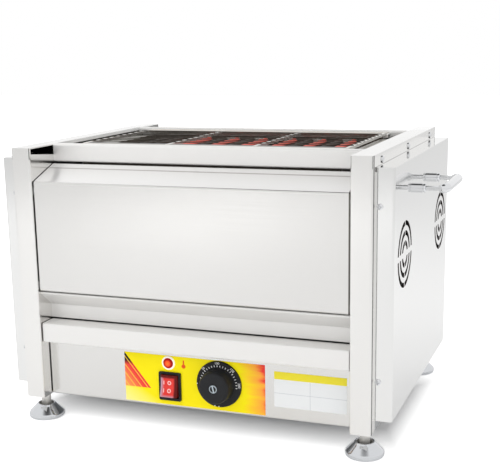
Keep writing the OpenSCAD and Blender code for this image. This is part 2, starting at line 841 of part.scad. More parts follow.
bush_d = shaft_hole_d - 1;
module thermostat_body() {
    back = panel_face + sheet;
    in_place() color("tan") difference() {
        union() {
            block([knob_x - thermostat_w / 2, knob_x + thermostat_w / 2], [back, back + thermostat_d],
                [knob_z - thermostat_h / 2, knob_z + thermostat_h / 2 - thermostat_drop]);
            rod_y(label_face, back + lap, knob_x, knob_z, bush_d);
        }
        rod_y(label_face - past, back + thermostat_d - shaft_wall, knob_x, knob_z, shaft_d + 2 * play);
    }
}
dial_t = 2.2;
dial_face = label_face - rest_gap - dial_t;
knob_front = dial_face - grip_l;
knob_cap = 4;
shaft_front = knob_front + knob_cap;
module thermostat_shaft() {
    in_place() color(polished)
        rod_y(shaft_front, panel_face + sheet + thermostat_d - shaft_wall - rest_gap, knob_x, knob_z,
            shaft_d);
}
grip_edge = 1;
grip_taper = 0.6;
module control_knob() {
    crown_d = grip_d - grip_taper;
    in_place() color("black") difference() {
        union() {
            cone_y(dial_face, dial_face + dial_t, knob_x, knob_z, dial_d - 1, dial_d);
            cone_y(knob_front, knob_front + grip_edge, knob_x, knob_z, crown_d - 2 * grip_edge, crown_d);
            cone_y(knob_front + grip_edge, dial_face + dial_t, knob_x, knob_z, crown_d, grip_d);
        }
        rod_y(shaft_front, dial_face + dial_t + past, knob_x, knob_z, shaft_d);
    }
}

// ---- Drip tray ----
tray_half = bay_x - 1.2;
tray_lip = 4.5;
return_gap = 4;         // from the front's side returns back to the pan
pan_front = panel_inset;
pan_half = bay_x - pan_gap;
module tray_front() {
    in_place() color(polished) {
        along_x(-tray_half, tray_half) polygon(folded([
            [cover_inset + tray_lip, tray_low], [cover_inset, tray_low], [cover_inset, tray_top],
            [recess_d - 1, tray_top]
        ]));
        both_sides() block([tray_half - sheet, tray_half], [cover_inset + sheet / 2, pan_front - return_gap],
            [tray_low + sheet / 2, tray_top - sheet / 2]);
    }
}
module tray_pan() {
    in_place() color(steel) difference() {
        union() {
            block([-pan_half, pan_half], [pan_front, pan_front + pan_d], [pan_z, pan_z + pan_h]);
            block([-pan_half, pan_half], [pan_front, pan_front + sheet], [pan_z, tray_top - sheet]);
        }
        block([sheet - pan_half, pan_half - sheet], [pan_front + sheet, pan_front + pan_d - sheet],
            [pan_z + sheet, tray_top + past]);
    }
}
runner_t = pan_z - rest_gap - panel_h - sheet;
runner_h = 16;
runner_end = 2;
runner_under = 10;      // how far a runner reaches under the pan
module tray_runners() {
    shelf_top = panel_h + sheet;
    ends = [between_panels[0] + runner_end, between_panels[1] - runner_end];
    in_place() color(steel) both_sides() {
        block([pan_half - runner_under, bay_x], ends, [shelf_top, shelf_top + runner_t]);
        block([bay_x - sheet, bay_x], ends, [shelf_top, shelf_top + runner_h]);
    }
}

// ---- Rear inlet ----
gland_nut_d = 24;
gland_nut_t = 6;
gland_cap_l = 13;
gland_cap_d = 20;
gland_tip_d = 15;
gland_tail = 1;
cable_d = 9;
module gland_nut(y0, t) {
    translate([gland_x, y0, gland_z]) rotate([-90, 0, 0]) cylinder(d = gland_nut_d, h = t, $fn = 6);
}
module cable_gland() {
    face = body_d - panel_inset;
    inner = face - sheet - gland_nut_t;
    tip = face + gland_nut_t + gland_cap_l;
    in_place() color("black") difference() {
        union() {
            rod_y(inner - gland_tail, face, gland_x, gland_z, gland_hole_d);
            gland_nut(face, gland_nut_t);
            // lock nut inside
            gland_nut(inner, gland_nut_t);
            cone_y(face + gland_nut_t, tip, gland_x, gland_z, gland_cap_d, gland_tip_d);
        }
        rod_y(inner - gland_tail - past, tip + past, gland_x, gland_z, cable_d);
    }
}
terminal_w = 60;
terminal_d = 22;
terminal_h = 16;
terminal_count = 5;
terminal_bore = 5;
terminal_aside = 30;    // from the gland's middle to the block
terminal_inset = 90;    // from the posts' rear to the block
module terminal_block() {
    pitch = terminal_w / terminal_count;
    in_place() color("white")
        translate([gland_x + terminal_aside, body_d - terminal_inset, 2 * sheet]) difference() {
            cube([terminal_w, terminal_d, terminal_h]);
            for (i = [0:terminal_count - 1])
                rod_y(-past, terminal_d + past, (i + 0.5) * pitch, terminal_h / 2, terminal_bore);
        }
}

post_front_left();
post_front_right();
post_rear_left();
post_rear_right();
side_rail_left();
side_rail_right();
front_rail();
rear_rail();
base_side_left();
base_side_right();
base_pan();
compartment_shelf();
front_cover();
front_cover_clips();
lower_crosspiece();
rear_cover();
rear_lower_panel();
inner_side_left();
inner_side_right();
side_cover_left();
side_cover_right();
cover_screws();
rail_screws();
handle_left();
handle_right();
handle_bosses();
leg_sleeves();
foot_front_left();
foot_front_right();
foot_rear_left();
foot_rear_right();
chamber_liner();
reflector();
heating_tubes();
tube_insulators();
tube_supports();
grate();
fan_frame_left_front();
fan_frame_left_rear();
fan_frame_right_front();
fan_frame_right_rear();
fan_rotor_left_front();
fan_rotor_left_rear();
fan_rotor_right_front();
fan_rotor_right_rear();
control_panel();
control_label();
lamp_body();
lamp_lens();
switch_housing();
switch_rocker();
thermostat_body();
thermostat_shaft();
control_knob();
tray_front();
tray_pan();
tray_runners();
cable_gland();
terminal_block();
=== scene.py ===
import json
import math
from functools import partial, reduce

import bmesh
import bpy
import numpy as np
from mathutils import Matrix, Vector

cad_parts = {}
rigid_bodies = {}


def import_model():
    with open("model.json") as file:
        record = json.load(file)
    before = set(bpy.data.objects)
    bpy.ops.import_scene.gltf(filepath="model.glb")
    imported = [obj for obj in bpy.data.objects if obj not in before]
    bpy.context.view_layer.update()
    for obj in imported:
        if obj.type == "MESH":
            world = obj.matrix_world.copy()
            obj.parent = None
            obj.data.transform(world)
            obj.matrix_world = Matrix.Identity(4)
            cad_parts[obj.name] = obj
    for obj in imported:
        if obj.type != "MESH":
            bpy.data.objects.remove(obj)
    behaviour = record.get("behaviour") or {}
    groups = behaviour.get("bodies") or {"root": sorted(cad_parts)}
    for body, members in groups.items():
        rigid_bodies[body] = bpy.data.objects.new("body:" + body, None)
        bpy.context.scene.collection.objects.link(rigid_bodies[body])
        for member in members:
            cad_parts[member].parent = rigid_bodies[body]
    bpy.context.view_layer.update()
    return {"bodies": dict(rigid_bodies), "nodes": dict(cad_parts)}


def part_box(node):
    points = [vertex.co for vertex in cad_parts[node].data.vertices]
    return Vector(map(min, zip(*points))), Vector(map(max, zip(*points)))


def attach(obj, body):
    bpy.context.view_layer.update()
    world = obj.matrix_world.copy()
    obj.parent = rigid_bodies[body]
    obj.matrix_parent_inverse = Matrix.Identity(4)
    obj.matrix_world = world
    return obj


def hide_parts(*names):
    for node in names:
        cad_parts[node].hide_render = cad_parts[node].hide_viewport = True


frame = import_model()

# ------------ places
# Cabinet millimetres: x across from the middle, y back from the front of the posts, z up from
# the bottom of the posts. The object's own frame is metres, from the floor under its middle.
MM = 0.001
_, FRONT, FLOOR_TO_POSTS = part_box("post_front_right")[0]


def place(points):
    """Cabinet millimetres to the object's frame in metres."""
    p = np.asarray(points, float) * MM
    p[..., 1] += FRONT
    p[..., 2] += FLOOR_TO_POSTS
    return p


def cabinet_box(node):
    """The lowest and highest corner of a CAD node, in cabinet millimetres."""
    shift = np.array([0, FRONT, FLOOR_TO_POSTS])
    low, high = ((np.array(corner) - shift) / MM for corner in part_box(node))
    return low, high


def middle_of(node):
    """The middle of a CAD node's box, in cabinet millimetres."""
    return sum(cabinet_box(node)) / 2


# ------------ sizes in millimetres
# the cabinet, from the CAD's boxes
POST_IN = cabinet_box("post_front_right")[0][0]
POST_OUT = cabinet_box("side_rail_right")[1][0]
DEPTH = cabinet_box("post_rear_right")[1][1]
TOP = cabinet_box("post_front_right")[1][2]
COVER_X = cabinet_box("side_cover_right")[1][0]
RAIL_INSET = cabinet_box("front_rail")[0][1]
CHAMBER_FRONT = cabinet_box("chamber_liner")[0][1]
CHAMBER_X = cabinet_box("reflector")[1][0]
SHEET = 1.2

# where the sheet is brushed or matt, and where shade is painted on it
COVER_BEND, CREASE_AT, END_SHADE_W = 235.1, 35.0, 2.2
FOLD_X, FOLD_DARK = (POST_IN + 0.4, POST_OUT - 0.5), 12.0
MATT_SKIRT, SKIRT_SHADOW_BELOW = 20.0, 266.6
JOINT_W, SEAM_H = 5.0, 16.0
VENT_Y, VENT_Z, VENT_R = 98.0, 168.5, 46.0

# feet
FOOT_X = middle_of("foot_front_right")[0]
FOOT_OUT = DEPTH / 2 - middle_of("foot_front_right")[1]
FOOT_PROFILE = [(0, 0), (18.4, 0), (19.5, 1.2), (19.5, 4.2), (18.9, 5.4), (11.2, 13.2),
                (10.2, 14.6), (9.4, 15.0), (8.4, 14.6), (8.2, 6.0), (4.15, 6.0), (4.0, 6.15),
                (4.0, 45.5), (0, 46)]
SOCKET_R = 8.45
SLEEVE_R, SLEEVE_BORE = 5.2, 4.05

# handles and screws
HANDLE_Z = middle_of("handle_right")[2]
GRIP_R, LEG_R, BEND_R = 5.0, 2.5, 6.0
LEGS_Y = (117.0, 199.0)
GRIP_X = 238.0
SCREW_X, SCREW_Z = POST_OUT + 4, (52.0, 222.0)
COVER_END = 11.0
RAIL_SCREW_Y, RAIL_SCREW_Z = (36.0, 158.0, 280.0), TOP - 6.7
SHANK = 6.0

# grate and heating tubes
STRIP_W, STRIP_T = 26.0, 1.0
BAR_W, BAR_T, BAR_PROUD, BAR_FROM, BAR_COUNT = 4.0, 3.0, 0.4, 76.0, 4
WIRE_D, WIRE_COUNT, WELD = 1.0, 9, 0.2
tubes_low, tubes_high = cabinet_box("heating_tubes")
TUBE_D = tubes_high[2] - tubes_low[2]
TUBE_Z = (tubes_high[2] + tubes_low[2]) / 2
TUBE_GAP, TUBE_PITCH, TUBE_COUNT, TUBE_PIN = 16.0, 35.5, 7, 4.0
TUBE_END = tubes_high[1] - TUBE_D / 2 - TUBE_GAP / 2

# label, lamp, switch, dial and card
LABEL_LOW, LABEL_HIGH = cabinet_box("control_label")
CORNER_SLOPE, CORNER_DROP = 0.80, 37.5
HEAT_MARK = place((-11.0, 0, 45.8))[[0, 2]]
LENS_AT = place(middle_of("lamp_lens"))
LENS_R = 5.55
SWITCH_AT = place(middle_of("switch_housing"))
ROCKER_MARKS_UP = (4.6, -3.6)
ROCKER_HALF_W, ROCKER_HALF_H, ROCKER_LEAN = 9.5, 11.6, -9.0
PIVOT_Y, PIVOT_R, PIVOT_HALF = 19.6, 1.18, 10.4
KNOB_X, KNOB_Z = 28.6, 31.0
KNOB_BACK = cabinet_box("control_knob")[1][1]
DIAL_R, DIAL_T, GRIP_KNOB_R, GRIP_KNOB_L = 24.75, 2.2, 17.4, 15.5
NUMBERS = {"50": -46, "100": -3, "150": 42, "200": 87}
NUMBER_H, NUMBERS_R = 3.6, 22.6
TICKS, TICK_FROM, TICK_TO, TICK_HALF_W = np.arange(-75, 97, 9.0), 18.9, 20.7, 0.36
OFF_DOTS, OFF_DOTS_R = (180.0, 191.0, -92.0), 23.4
INK = 0.12
SLOT_LEAN = 14.0
CARD_LOW, CARD_HIGH = np.array([88.0, 16.8, 13.4]), np.array([163.0, 17.0, 50.6])
CARD_BAND, CARD_RULE = 8.0, 0.2

# ------------ camera
YAW, PITCH, ROLL = 0.364, 0.2195, -0.019
CAMERA_AT = (403.70, -903.54, 374.67)
FOCAL_PIXELS = 1019.3
IMAGE_W, IMAGE_H = 500, 465
CENTRE_PIXEL = (239.46, 267.35)
SENSOR = 36.0


def make_camera():
    """A camera that looks along the yaw and pitch, with the picture's centre shifted to fit."""
    forward = Vector((-math.sin(YAW) * math.cos(PITCH), math.cos(YAW) * math.cos(PITCH),
                      -math.sin(PITCH)))
    level = Vector((math.cos(YAW), math.sin(YAW), 0))
    up = level.cross(forward)
    right = math.cos(ROLL) * level + math.sin(ROLL) * up
    up = -math.sin(ROLL) * level + math.cos(ROLL) * up
    data = bpy.data.cameras.new("camera")
    data.sensor_width = SENSOR
    data.lens = FOCAL_PIXELS / IMAGE_W * SENSOR
    data.shift_x = (IMAGE_W / 2 - CENTRE_PIXEL[0]) / IMAGE_W
    data.shift_y = (CENTRE_PIXEL[1] - IMAGE_H / 2) / IMAGE_W
    data.clip_start = 0.01
    camera = bpy.data.objects.new("camera", data)
    turn = Matrix((right, up, -forward)).transposed()
    camera.matrix_world = Matrix.Translation(Vector(place(CAMERA_AT))) @ turn.to_4x4()
    bpy.context.scene.collection.objects.link(camera)
    bpy.context.scene.camera = camera


make_camera()

# ------------ nodes of a material
ALL = slice(None)
# short name: Blender's kind of node, its settings, the inputs that values go into in turn, and
# the output that is given back
KINDS = {
    "coordinates": ("TexCoord", {}, (), "Object"),
    "axes": ("SeparateXYZ", {}, (0,), ALL),
    "stretch": ("Mapping", {}, (0, 3), 0),
    "noise": ("TexNoise", {}, ("Vector", "Scale", "Detail", "Roughness"), 0),
    "cells": ("TexVoronoi", {}, ("Vector", "Scale"), 0),
    "red of": ("SeparateColor", {}, (0,), 0),
    # value, result at the start, result at the end, start, end; held outside them
    "map": ("MapRange", {}, (0, 3, 4, 1, 2), 0),
    "mix": ("Mix", {"data_type": "RGBA"}, (0, 6, 7), 2),
    "bump": ("Bump", {}, ("Height", "Distance"), 0),
    "length": ("VectorMath", {"operation": "LENGTH"}, (0,), "Value"),
    "ray": ("LightPath", {}, (), ALL),
    "diffuse": ("BsdfDiffuse", {}, ("Color",), 0),
    "glow": ("Emission", {}, ("Color", "Strength"), 0),
    "both": ("AddShader", {}, (0, 1), 0),
    "surface": ("OutputMaterial", {}, ("Surface",), ALL),
}
for operation in ("add", "subtract", "multiply", "maximum", "minimum", "absolute", "sqrt",
                  "less_than", "greater_than", "pingpong"):
    KINDS[operation] = ("Math", {"operation": operation.upper()}, (0, 1), 0)


def colour(code):
    """An sRGB hex code as linear red, green, blue and alpha."""
    parts = [int(code[i:i + 2], 16) / 255 for i in (1, 3, 5)]
    return [c / 12.92 if c <= 0.04045 else ((c + 0.055) / 1.055) ** 2.4 for c in parts] + [1.0]


def put(node, name, value):
    """Links an input of a node to an output, or sets it to a value or to a hex code's colour."""
    socket = node.inputs[name]
    if isinstance(value, bpy.types.NodeSocket):
        node.id_data.links.new(value, socket)
    else:
        socket.default_value = colour(value) if isinstance(value, str) else value


def connect(node, **values):
    """Sets or links several inputs of a node, each named as on the node, with _ for a blank."""
    for name, value in values.items():
        put(node, name.replace("_", " "), value)


def add_node(tree, kind, *values, give=None):
    """Adds a node of one of the KINDS to a tree, puts the values into its inputs in turn, and
    gives its output."""
    type_name, settings, inputs, output = KINDS[kind]
    node = tree.nodes.new("ShaderNode" + type_name)
    for name, value in settings.items():
        setattr(node, name, value)
    for name, value in zip(inputs, values):
        put(node, name, value)
    return node.outputs[output if give is None else give]


def new_material(name, base, metallic=0.0, roughness=0.5, **settings):
    """A material with one Principled shader: the material, a function that adds nodes to it, the
    shader, and the Object coordinates."""
    material = bpy.data.materials.new(name)
    material.use_nodes = True
    shader = material.node_tree.nodes["Principled BSDF"]
    connect(shader, Base_Color=base, Metallic=metallic, Roughness=roughness, **settings)
    add = partial(add_node, material.node_tree)
    return material, add, shader, add("coordinates")


def size(*across):
    """The scale of a pattern whose features are so many millimetres across, or so many along
    each axis."""
    scales = [1 / (a * MM) for a in across]
    return scales if len(scales) > 1 else scales[0]


def all_of(add, *masks):
    """1 where every mask is 1: their product."""
    return reduce(partial(add, "multiply"), masks)


def any_of(add, *masks):
    """1 where one of the masks is 1: their maximum."""
    return reduce(partial(add, "maximum"), masks)


def between(add, value, low, high):
    """1 where a length in metres lies between two in millimetres, else 0."""
    return all_of(add, add("greater_than", value, low * MM), add("less_than", value, high * MM))


def off(add, value, centre):
    """How far a coordinate lies from a place on its axis, in metres, without a sign."""
    return add("absolute", add("subtract", value, float(centre)))


def distance_from(add, a, b, centre):
    """The distance of a point from a centre in the plane of two axes, in metres."""
    a, b = off(add, a, centre[0]), off(add, b, centre[1])
    return add("sqrt", add("add", add("multiply", a, a), add("multiply", b, b)))


def ring_mask(add, x, z, centre, inner, outer):
    """1 between two radii in millimetres round a centre in the x-z plane, else 0."""
    return between(add, distance_from(add, x, z, centre), inner, outer)


def bar_mask(add, x, z, centre, half_w, half_h):
    """1 inside an upright bar in the x-z plane, else 0."""
    return all_of(add, add("less_than", off(add, x, centre[0]), half_w * MM),
                  add("less_than", off(add, z, centre[1]), half_h * MM))


# ------------ metals
STEEL_GREY, POST_GREY, COVER_GREY = "#DDDCDA", "#E9E8E6", "#E7E7E6"


def polished_sheet(name, base, roughness, sheen=0.03, waviness=0.25):
    """Stainless sheet, cold rolled and polished: a soft mirror. Rolling leaves faint streaks
    along the sheet, which show as roughness. They are drawn 1.4 mm apart, wider than the real
    ones, so that they show. The flat panels wave a little, which bends what they mirror."""
    material, add, shader, where = new_material(name, base, 1.0, roughness)
    streaks = add("noise", add("stretch", where, size(167, 167, 1.4286)), 1.0, 3.0)
    connect(shader, Normal=add("bump", add("noise", where, size(111), 1.0), waviness * MM),
            Roughness=add("map", streaks, roughness - sheen, roughness + sheen, 0.3, 0.7))
    return material, add, shader, where


def stainless():
    """The covers and the panel, polished. The covers' sloping tops are brushed, so they mirror
    less, and painted shade draws a dark line along each, where the sheet has a shallow fold.
    Painted shade also darkens their right ends."""
    material, add, shader, where = polished_sheet("polished_stainless_sheet", STEEL_GREY, 0.2)
    x, y, z = add("axes", where)
    out = add("absolute", y)
    slope = between(add, add("subtract", z, FLOOR_TO_POSTS), COVER_BEND + 0.3, TOP)
    # painted shade: a dark line along each sloping top, where the sheet has a shallow fold
    crease = add("map", off(add, out, (DEPTH / 2 - CREASE_AT) * MM), 0.8, 0.0, 0.3 * MM, 1.8 * MM)
    # painted shade: a dark band at the right ends
    painted_end_shade = add("greater_than", x, (POST_IN - END_SHADE_W) * MM)
    base = add("mix", slope, STEEL_GREY, "#E9E8E7")
    base = add("mix", all_of(add, slope, crease), base, "#A3A09C")
    connect(shader, Base_Color=add("mix", painted_end_shade, base, "#6E6A66"),
            Metallic=add("map", slope, 1.0, 0.45))
    return material


def satin_stainless():
    """Satin sheet for the front and rear rails, the crosspiece and the tray's front: brushed
    across after bending, so it scatters much of the light and stays pale in the finger recess."""
    material, _, shader, _ = polished_sheet("satin_stainless_sheet", "#EBEAE8", 0.42)
    connect(shader, Metallic=0.35)
    return material


def stainless_rail():
    """The folded posts and side rails. Painted shade darkens the front half of each rail's fold, a
    painted shadow darkens the skirts beside the grate below its level, and painted shade darkens
    the joint behind each post's fold. The tops of the skirts and the insides of the rear posts are
    a pale matt grey, so they mirror little."""
    material, add, shader, where = polished_sheet("polished_stainless_posts", POST_GREY, 0.15)
    x, y, z = add("axes", where)
    away, out = add("absolute", x), add("absolute", y)
    height = add("subtract", z, FLOOR_TO_POSTS)
    in_fold = between(add, away, *FOLD_X)
    # painted shade: dark in the front half of each rail's fold, where the hollow is in shade
    fold = all_of(add, in_fold, between(add, height, TOP - FOLD_DARK, TOP - 0.4),
                  between(add, y, 0.4 - DEPTH / 2, 0))
    skirt = between(add, away, POST_IN - 1, POST_IN + 0.1)
    # painted shadow: dark on the skirts beside the grate, below its level
    darkened = all_of(add, skirt, between(add, out, -1, DEPTH / 2 - RAIL_INSET),
                     between(add, height, -1, SKIRT_SHADOW_BELOW))
    matt_skirt = all_of(add, skirt, between(add, height, TOP - MATT_SKIRT, TOP - 0.1),
                        add("greater_than", y, (RAIL_INSET - DEPTH / 2) * MM))
    rear_inside = all_of(add, in_fold, add("greater_than", y, (DEPTH / 2 - RAIL_INSET) * MM))
    # painted shade: dark in the joint behind each post's fold
    joint = all_of(add, between(add, away, POST_OUT - 0.1, POST_OUT + 1),
                   between(add, out, DEPTH / 2 - JOINT_W, DEPTH / 2 - 0.4))
    matt = any_of(add, matt_skirt, rear_inside)
    base = add("mix", matt, POST_GREY, "#FDFDFC")
    base = add("mix", any_of(add, fold, darkened), base, "#1E1B19")
    connect(shader, Base_Color=add("mix", joint, base, "#2B2929"),
            Metallic=add("map", matt, 1.0, 0.1))
    return material


def bright_polish():
    """The side covers: stainless, mirror polished, so they show the handles in them. Painted shade
    darkens the top of the line where each meets its rail, and the vents' cut edges."""
    material, add, shader, where = polished_sheet("mirror_polished_stainless", COVER_GREY, 0.07,
                                                  0.02, 0.18)
    x, y, z = add("axes", where)
    away = add("absolute", x)
    # painted shade: dark at the top of the line where each cover meets its rail, under the rail
    seam = all_of(add, between(add, away, POST_OUT - 1, POST_OUT + 0.9),
                  add("greater_than", z, FLOOR_TO_POSTS + (TOP - SEAM_H) * MM))
    vent = (VENT_Y * MM, FLOOR_TO_POSTS + VENT_Z * MM)
    from_vent = distance_from(add, add("absolute", y), z, vent)
    # painted shade: dark, matt edges inside the vents' slots
    cut = all_of(add, between(add, away, COVER_X - SHEET - 0.1, COVER_X - 0.02),
                 add("less_than", from_vent, VENT_R * MM))
    base = add("mix", seam, COVER_GREY, "#7C7A79")
    connect(shader, Base_Color=add("mix", cut, base, "#5C5452"),
            Metallic=add("map", cut, 1.0, 0.2))
    return material


def galvanised():
    """Galvanised sheet: zinc crystals 6 mm across, each a slightly different grey."""
    material, add, shader, where = new_material("galvanised_sheet", "#A9ABAC", 1.0, 0.38)
    grey = add("red of", add("cells", where, size(6.25), give="Color"))
    connect(shader, Base_Color=add("mix", grey, "#9C9EA0", "#B9BBBC"),
            Roughness=add("map", grey, 0.3, 0.46))
    return material


def chamber_steel():
    """The chamber's walls: stainless sheet browned in patches by heat and fat, bright outside."""
    material, add, shader, where = new_material("heat_browned_stainless", "#4A443E", 0.6, 0.5)
    x, _, _ = add("axes", where)
    flange = add("greater_than", add("absolute", x), (CHAMBER_X + 0.6) * MM)
    stain = add("noise", where, size(38.5), 4.0)
    brown = add("mix", stain, "#5E5850", "#857B6E")
    connect(shader, Base_Color=add("mix", flange, brown, "#C4C2BC"),
            Roughness=add("map", stain, 0.45, 0.65))
    return material


def chrome():
    """Bright chrome plate: an even mirror with a cool tint, smeared a little by hands."""
    material, add, shader, where = new_material("bright_chrome_plate", "#DDDEE0", 1.0, 0.06)
    smears = add("noise", where, size(8.33), 3.0)
    connect(shader, Roughness=add("map", smears, 0.04, 0.12, 0.3, 0.8))
    return material


def bell_chrome():
    """The feet's bells: chrome plated outside, bare grey in the socket, which plating misses."""
    material, add, shader, where = new_material("chrome_plated_bell", "#D3D5D8", 1.0, 0.07)
    x, y, _ = add("axes", where)
    from_stem = distance_from(add, add("absolute", x), add("absolute", y),
                              (FOOT_X * MM, FOOT_OUT * MM))
    bare = add("less_than", from_stem, SOCKET_R * MM)
    smears = add("noise", where, size(8.33), 3.0)
    connect(shader, Base_Color=add("mix", bare, "#D3D5D8", "#B4B3B0"),
            Metallic=add("map", bare, 1.0, 0.0),
            Roughness=add("map", smears, 0.05, 0.14, 0.3, 0.8))
    return material


def satin_tube():
    """The feet's sleeves: drawn steel tube, satin from the die, so it stays pale in the bell's
    shade. The die's lines run along it."""
    material, add, shader, where = new_material("drawn_satin_tube", "#E4E2DE", 0.55, 0.45)
    lines = add("noise", add("stretch", where, size(1.11, 1.11, 33.3)), 1.0)
    connect(shader, Base_Color=add("mix", lines, "#D9D7D3", "#EDEBE7"))
    return material


def grate_strip_steel():
    """The grate's end strips: ground stainless, tinted straw by heat, with a painted shadow along
    the front one's inner edge."""
    material, add, shader, where = new_material("straw_tinted_stainless", "#C9C3B8", 1.0, 0.3)
    _, y, _ = add("axes", where)
    edge = float(place((0, cabinet_box("grate")[0][1] + STRIP_W, 0))[1])
    # painted shadow: black along the front strip's inner edge, where it meets the chamber
    painted_edge_shadow = all_of(add, add("map", y, 0.0, 1.0, edge - 12 * MM, edge - 8 * MM),
                  add("less_than", y, 0.0))
    straw = add("mix", add("noise", where, size(16.7), 4.0), "#BEB7AB", "#D6D1C8")
    connect(shader, Base_Color=add("mix", painted_edge_shadow, straw, "#1B1815"),
            Metallic=add("map", painted_edge_shadow, 1.0, 0.0))
    return material


def heating_tube(name, glows, ash_bend):
    """Sheathed heating tube: steel with a dark oxide skin. A hot leg glows red along its upper
    side, from past the front wall to the bend, which stays cool enough to show a pale ash."""
    material, add, shader, where = new_material(name, "#4A403A", 0.2, 0.6)
    _, y, z = add("axes", where)
    along = add("subtract", y, FRONT)
    flakes = add("noise", where, size(4.17), 4.0)
    skin = add("mix", flakes, "#3A3531", "#504841")
    if ash_bend:
        at_bend = add("map", along, 0.0, 1.0, (TUBE_END - 1) * MM, (TUBE_END + 3) * MM)
        skin = add("mix", at_bend, skin, add("mix", flakes, "#E4E0D8", "#F8F6F2"))
    connect(shader, Base_Color=skin)
    if glows:
        wall = CHAMBER_FRONT + 1
        middle = float(place((0, 0, TUBE_Z))[2])
        hot = all_of(add, add("map", along, 0.0, 1.0, wall * MM, (wall + 11) * MM),
                     add("map", along, 1.0, 0.0, (TUBE_END - 3) * MM, (TUBE_END + 2) * MM),
                     add("map", z, 0.06, 1.0, middle - 1.2 * MM, middle + 0.4 * MM))
        connect(shader, Emission_Color=add("mix", flakes, "#D2483C", "#E8665A"),
                Emission_Strength=add("multiply", hot, 0.85))
    return material


# ------------ two-tone finishes, plastics and prints
def mottled(name, base, other, metallic, roughness, across, detail=2.0, depth=0.0, **settings):
    """A finish that varies between two colours in patches so many millimetres across, which may
    stand up by a depth in millimetres."""
    material, add, shader, where = new_material(name, base, metallic, roughness, **settings)
    patches = add("noise", where, size(across), detail)
    connect(shader, Base_Color=add("mix", patches, base, other))
    if depth:
        connect(shader, Normal=add("bump", patches, depth * MM))
    return material


# Injection moulded plastic: one colour with a slight mottle, and a moulded grain, drawn 1.1 mm
# apart, coarser than the real one, so that it shows
moulded = partial(mottled, metallic=0.0, across=1.11, depth=0.02)


def lamp_lens():
    """The lamp's lens: clear red polycarbonate, faceted inside, with the lit bulb orange behind
    its middle."""
    material, add, shader, where = new_material("red_polycarbonate_lens", "#B3130C", 0.0, 0.2,
                                                Specular_IOR_Level=0.15)
    x, _, z = add("axes", where)
    middle = add("map", distance_from(add, x, z, LENS_AT[[0, 2]]), 1.0, 0.0, 1.2 * MM, 4.2 * MM)
    facets = add("cells", where, size(0.714))
    connect(shader, Base_Color=add("mix", middle, "#9A0D08", "#F2542A"),
            Emission_Color=add("mix", middle, "#B80F08", "#FF6A1C"),
            Emission_Strength=add("map", middle, 0.3, 0.8),
            Normal=add("bump", facets, 0.2 * MM))
    return material


def red_rocker():
    """The rocker: translucent red polycarbonate, with I and O marks and a faint painted glow. A
    pale lilac painted highlight runs along its lower and left edges, and painted shade turns its
    right and upper edges dark red."""
    material, add, shader, where = new_material("translucent_red_polycarbonate", "#D9281F", 0.0,
                                                0.3, Specular_IOR_Level=0.2)
    x, _, z = add("axes", where)
    cx, _, cz = SWITCH_AT
    marks = []
    for up in ROCKER_MARKS_UP:
        marks.append(bar_mask(add, x, z, (cx - 5.6 * MM, cz + up * MM), 0.5, 2.0))
        marks.append(ring_mask(add, x, z, (cx + 0.6 * MM, cz + up * MM), 1.1, 2.2))
    across, upward = add("subtract", x, float(cx)), add("subtract", z, float(cz))
    # painted highlight: pale lilac along the lower and left edges
    milky = any_of(add, add("map", across, 1.0, 0.0, -8.6 * MM, -5.2 * MM),
                   add("map", upward, 1.0, 0.0, -10.6 * MM, -7.6 * MM))
    # painted shade: dark red along the right and upper edges
    shaded = any_of(add, add("map", across, 0.0, 1.0, 5.0 * MM, 7.0 * MM),
                    add("map", upward, 0.0, 1.0, 8.6 * MM, 10.6 * MM))
    red = add("mix", add("noise", where, size(11.1)), "#D2302A", "#E2463F")
    red = add("mix", milky, red, "#B795A6")
    red = add("mix", shaded, red, "#5E0706")
    red = add("mix", any_of(add, *marks), red, "#F3BCB8")
    # painted glow: a faint light of its own
    connect(shader, Base_Color=red, Emission_Color=red, Emission_Strength=0.15)
    return material


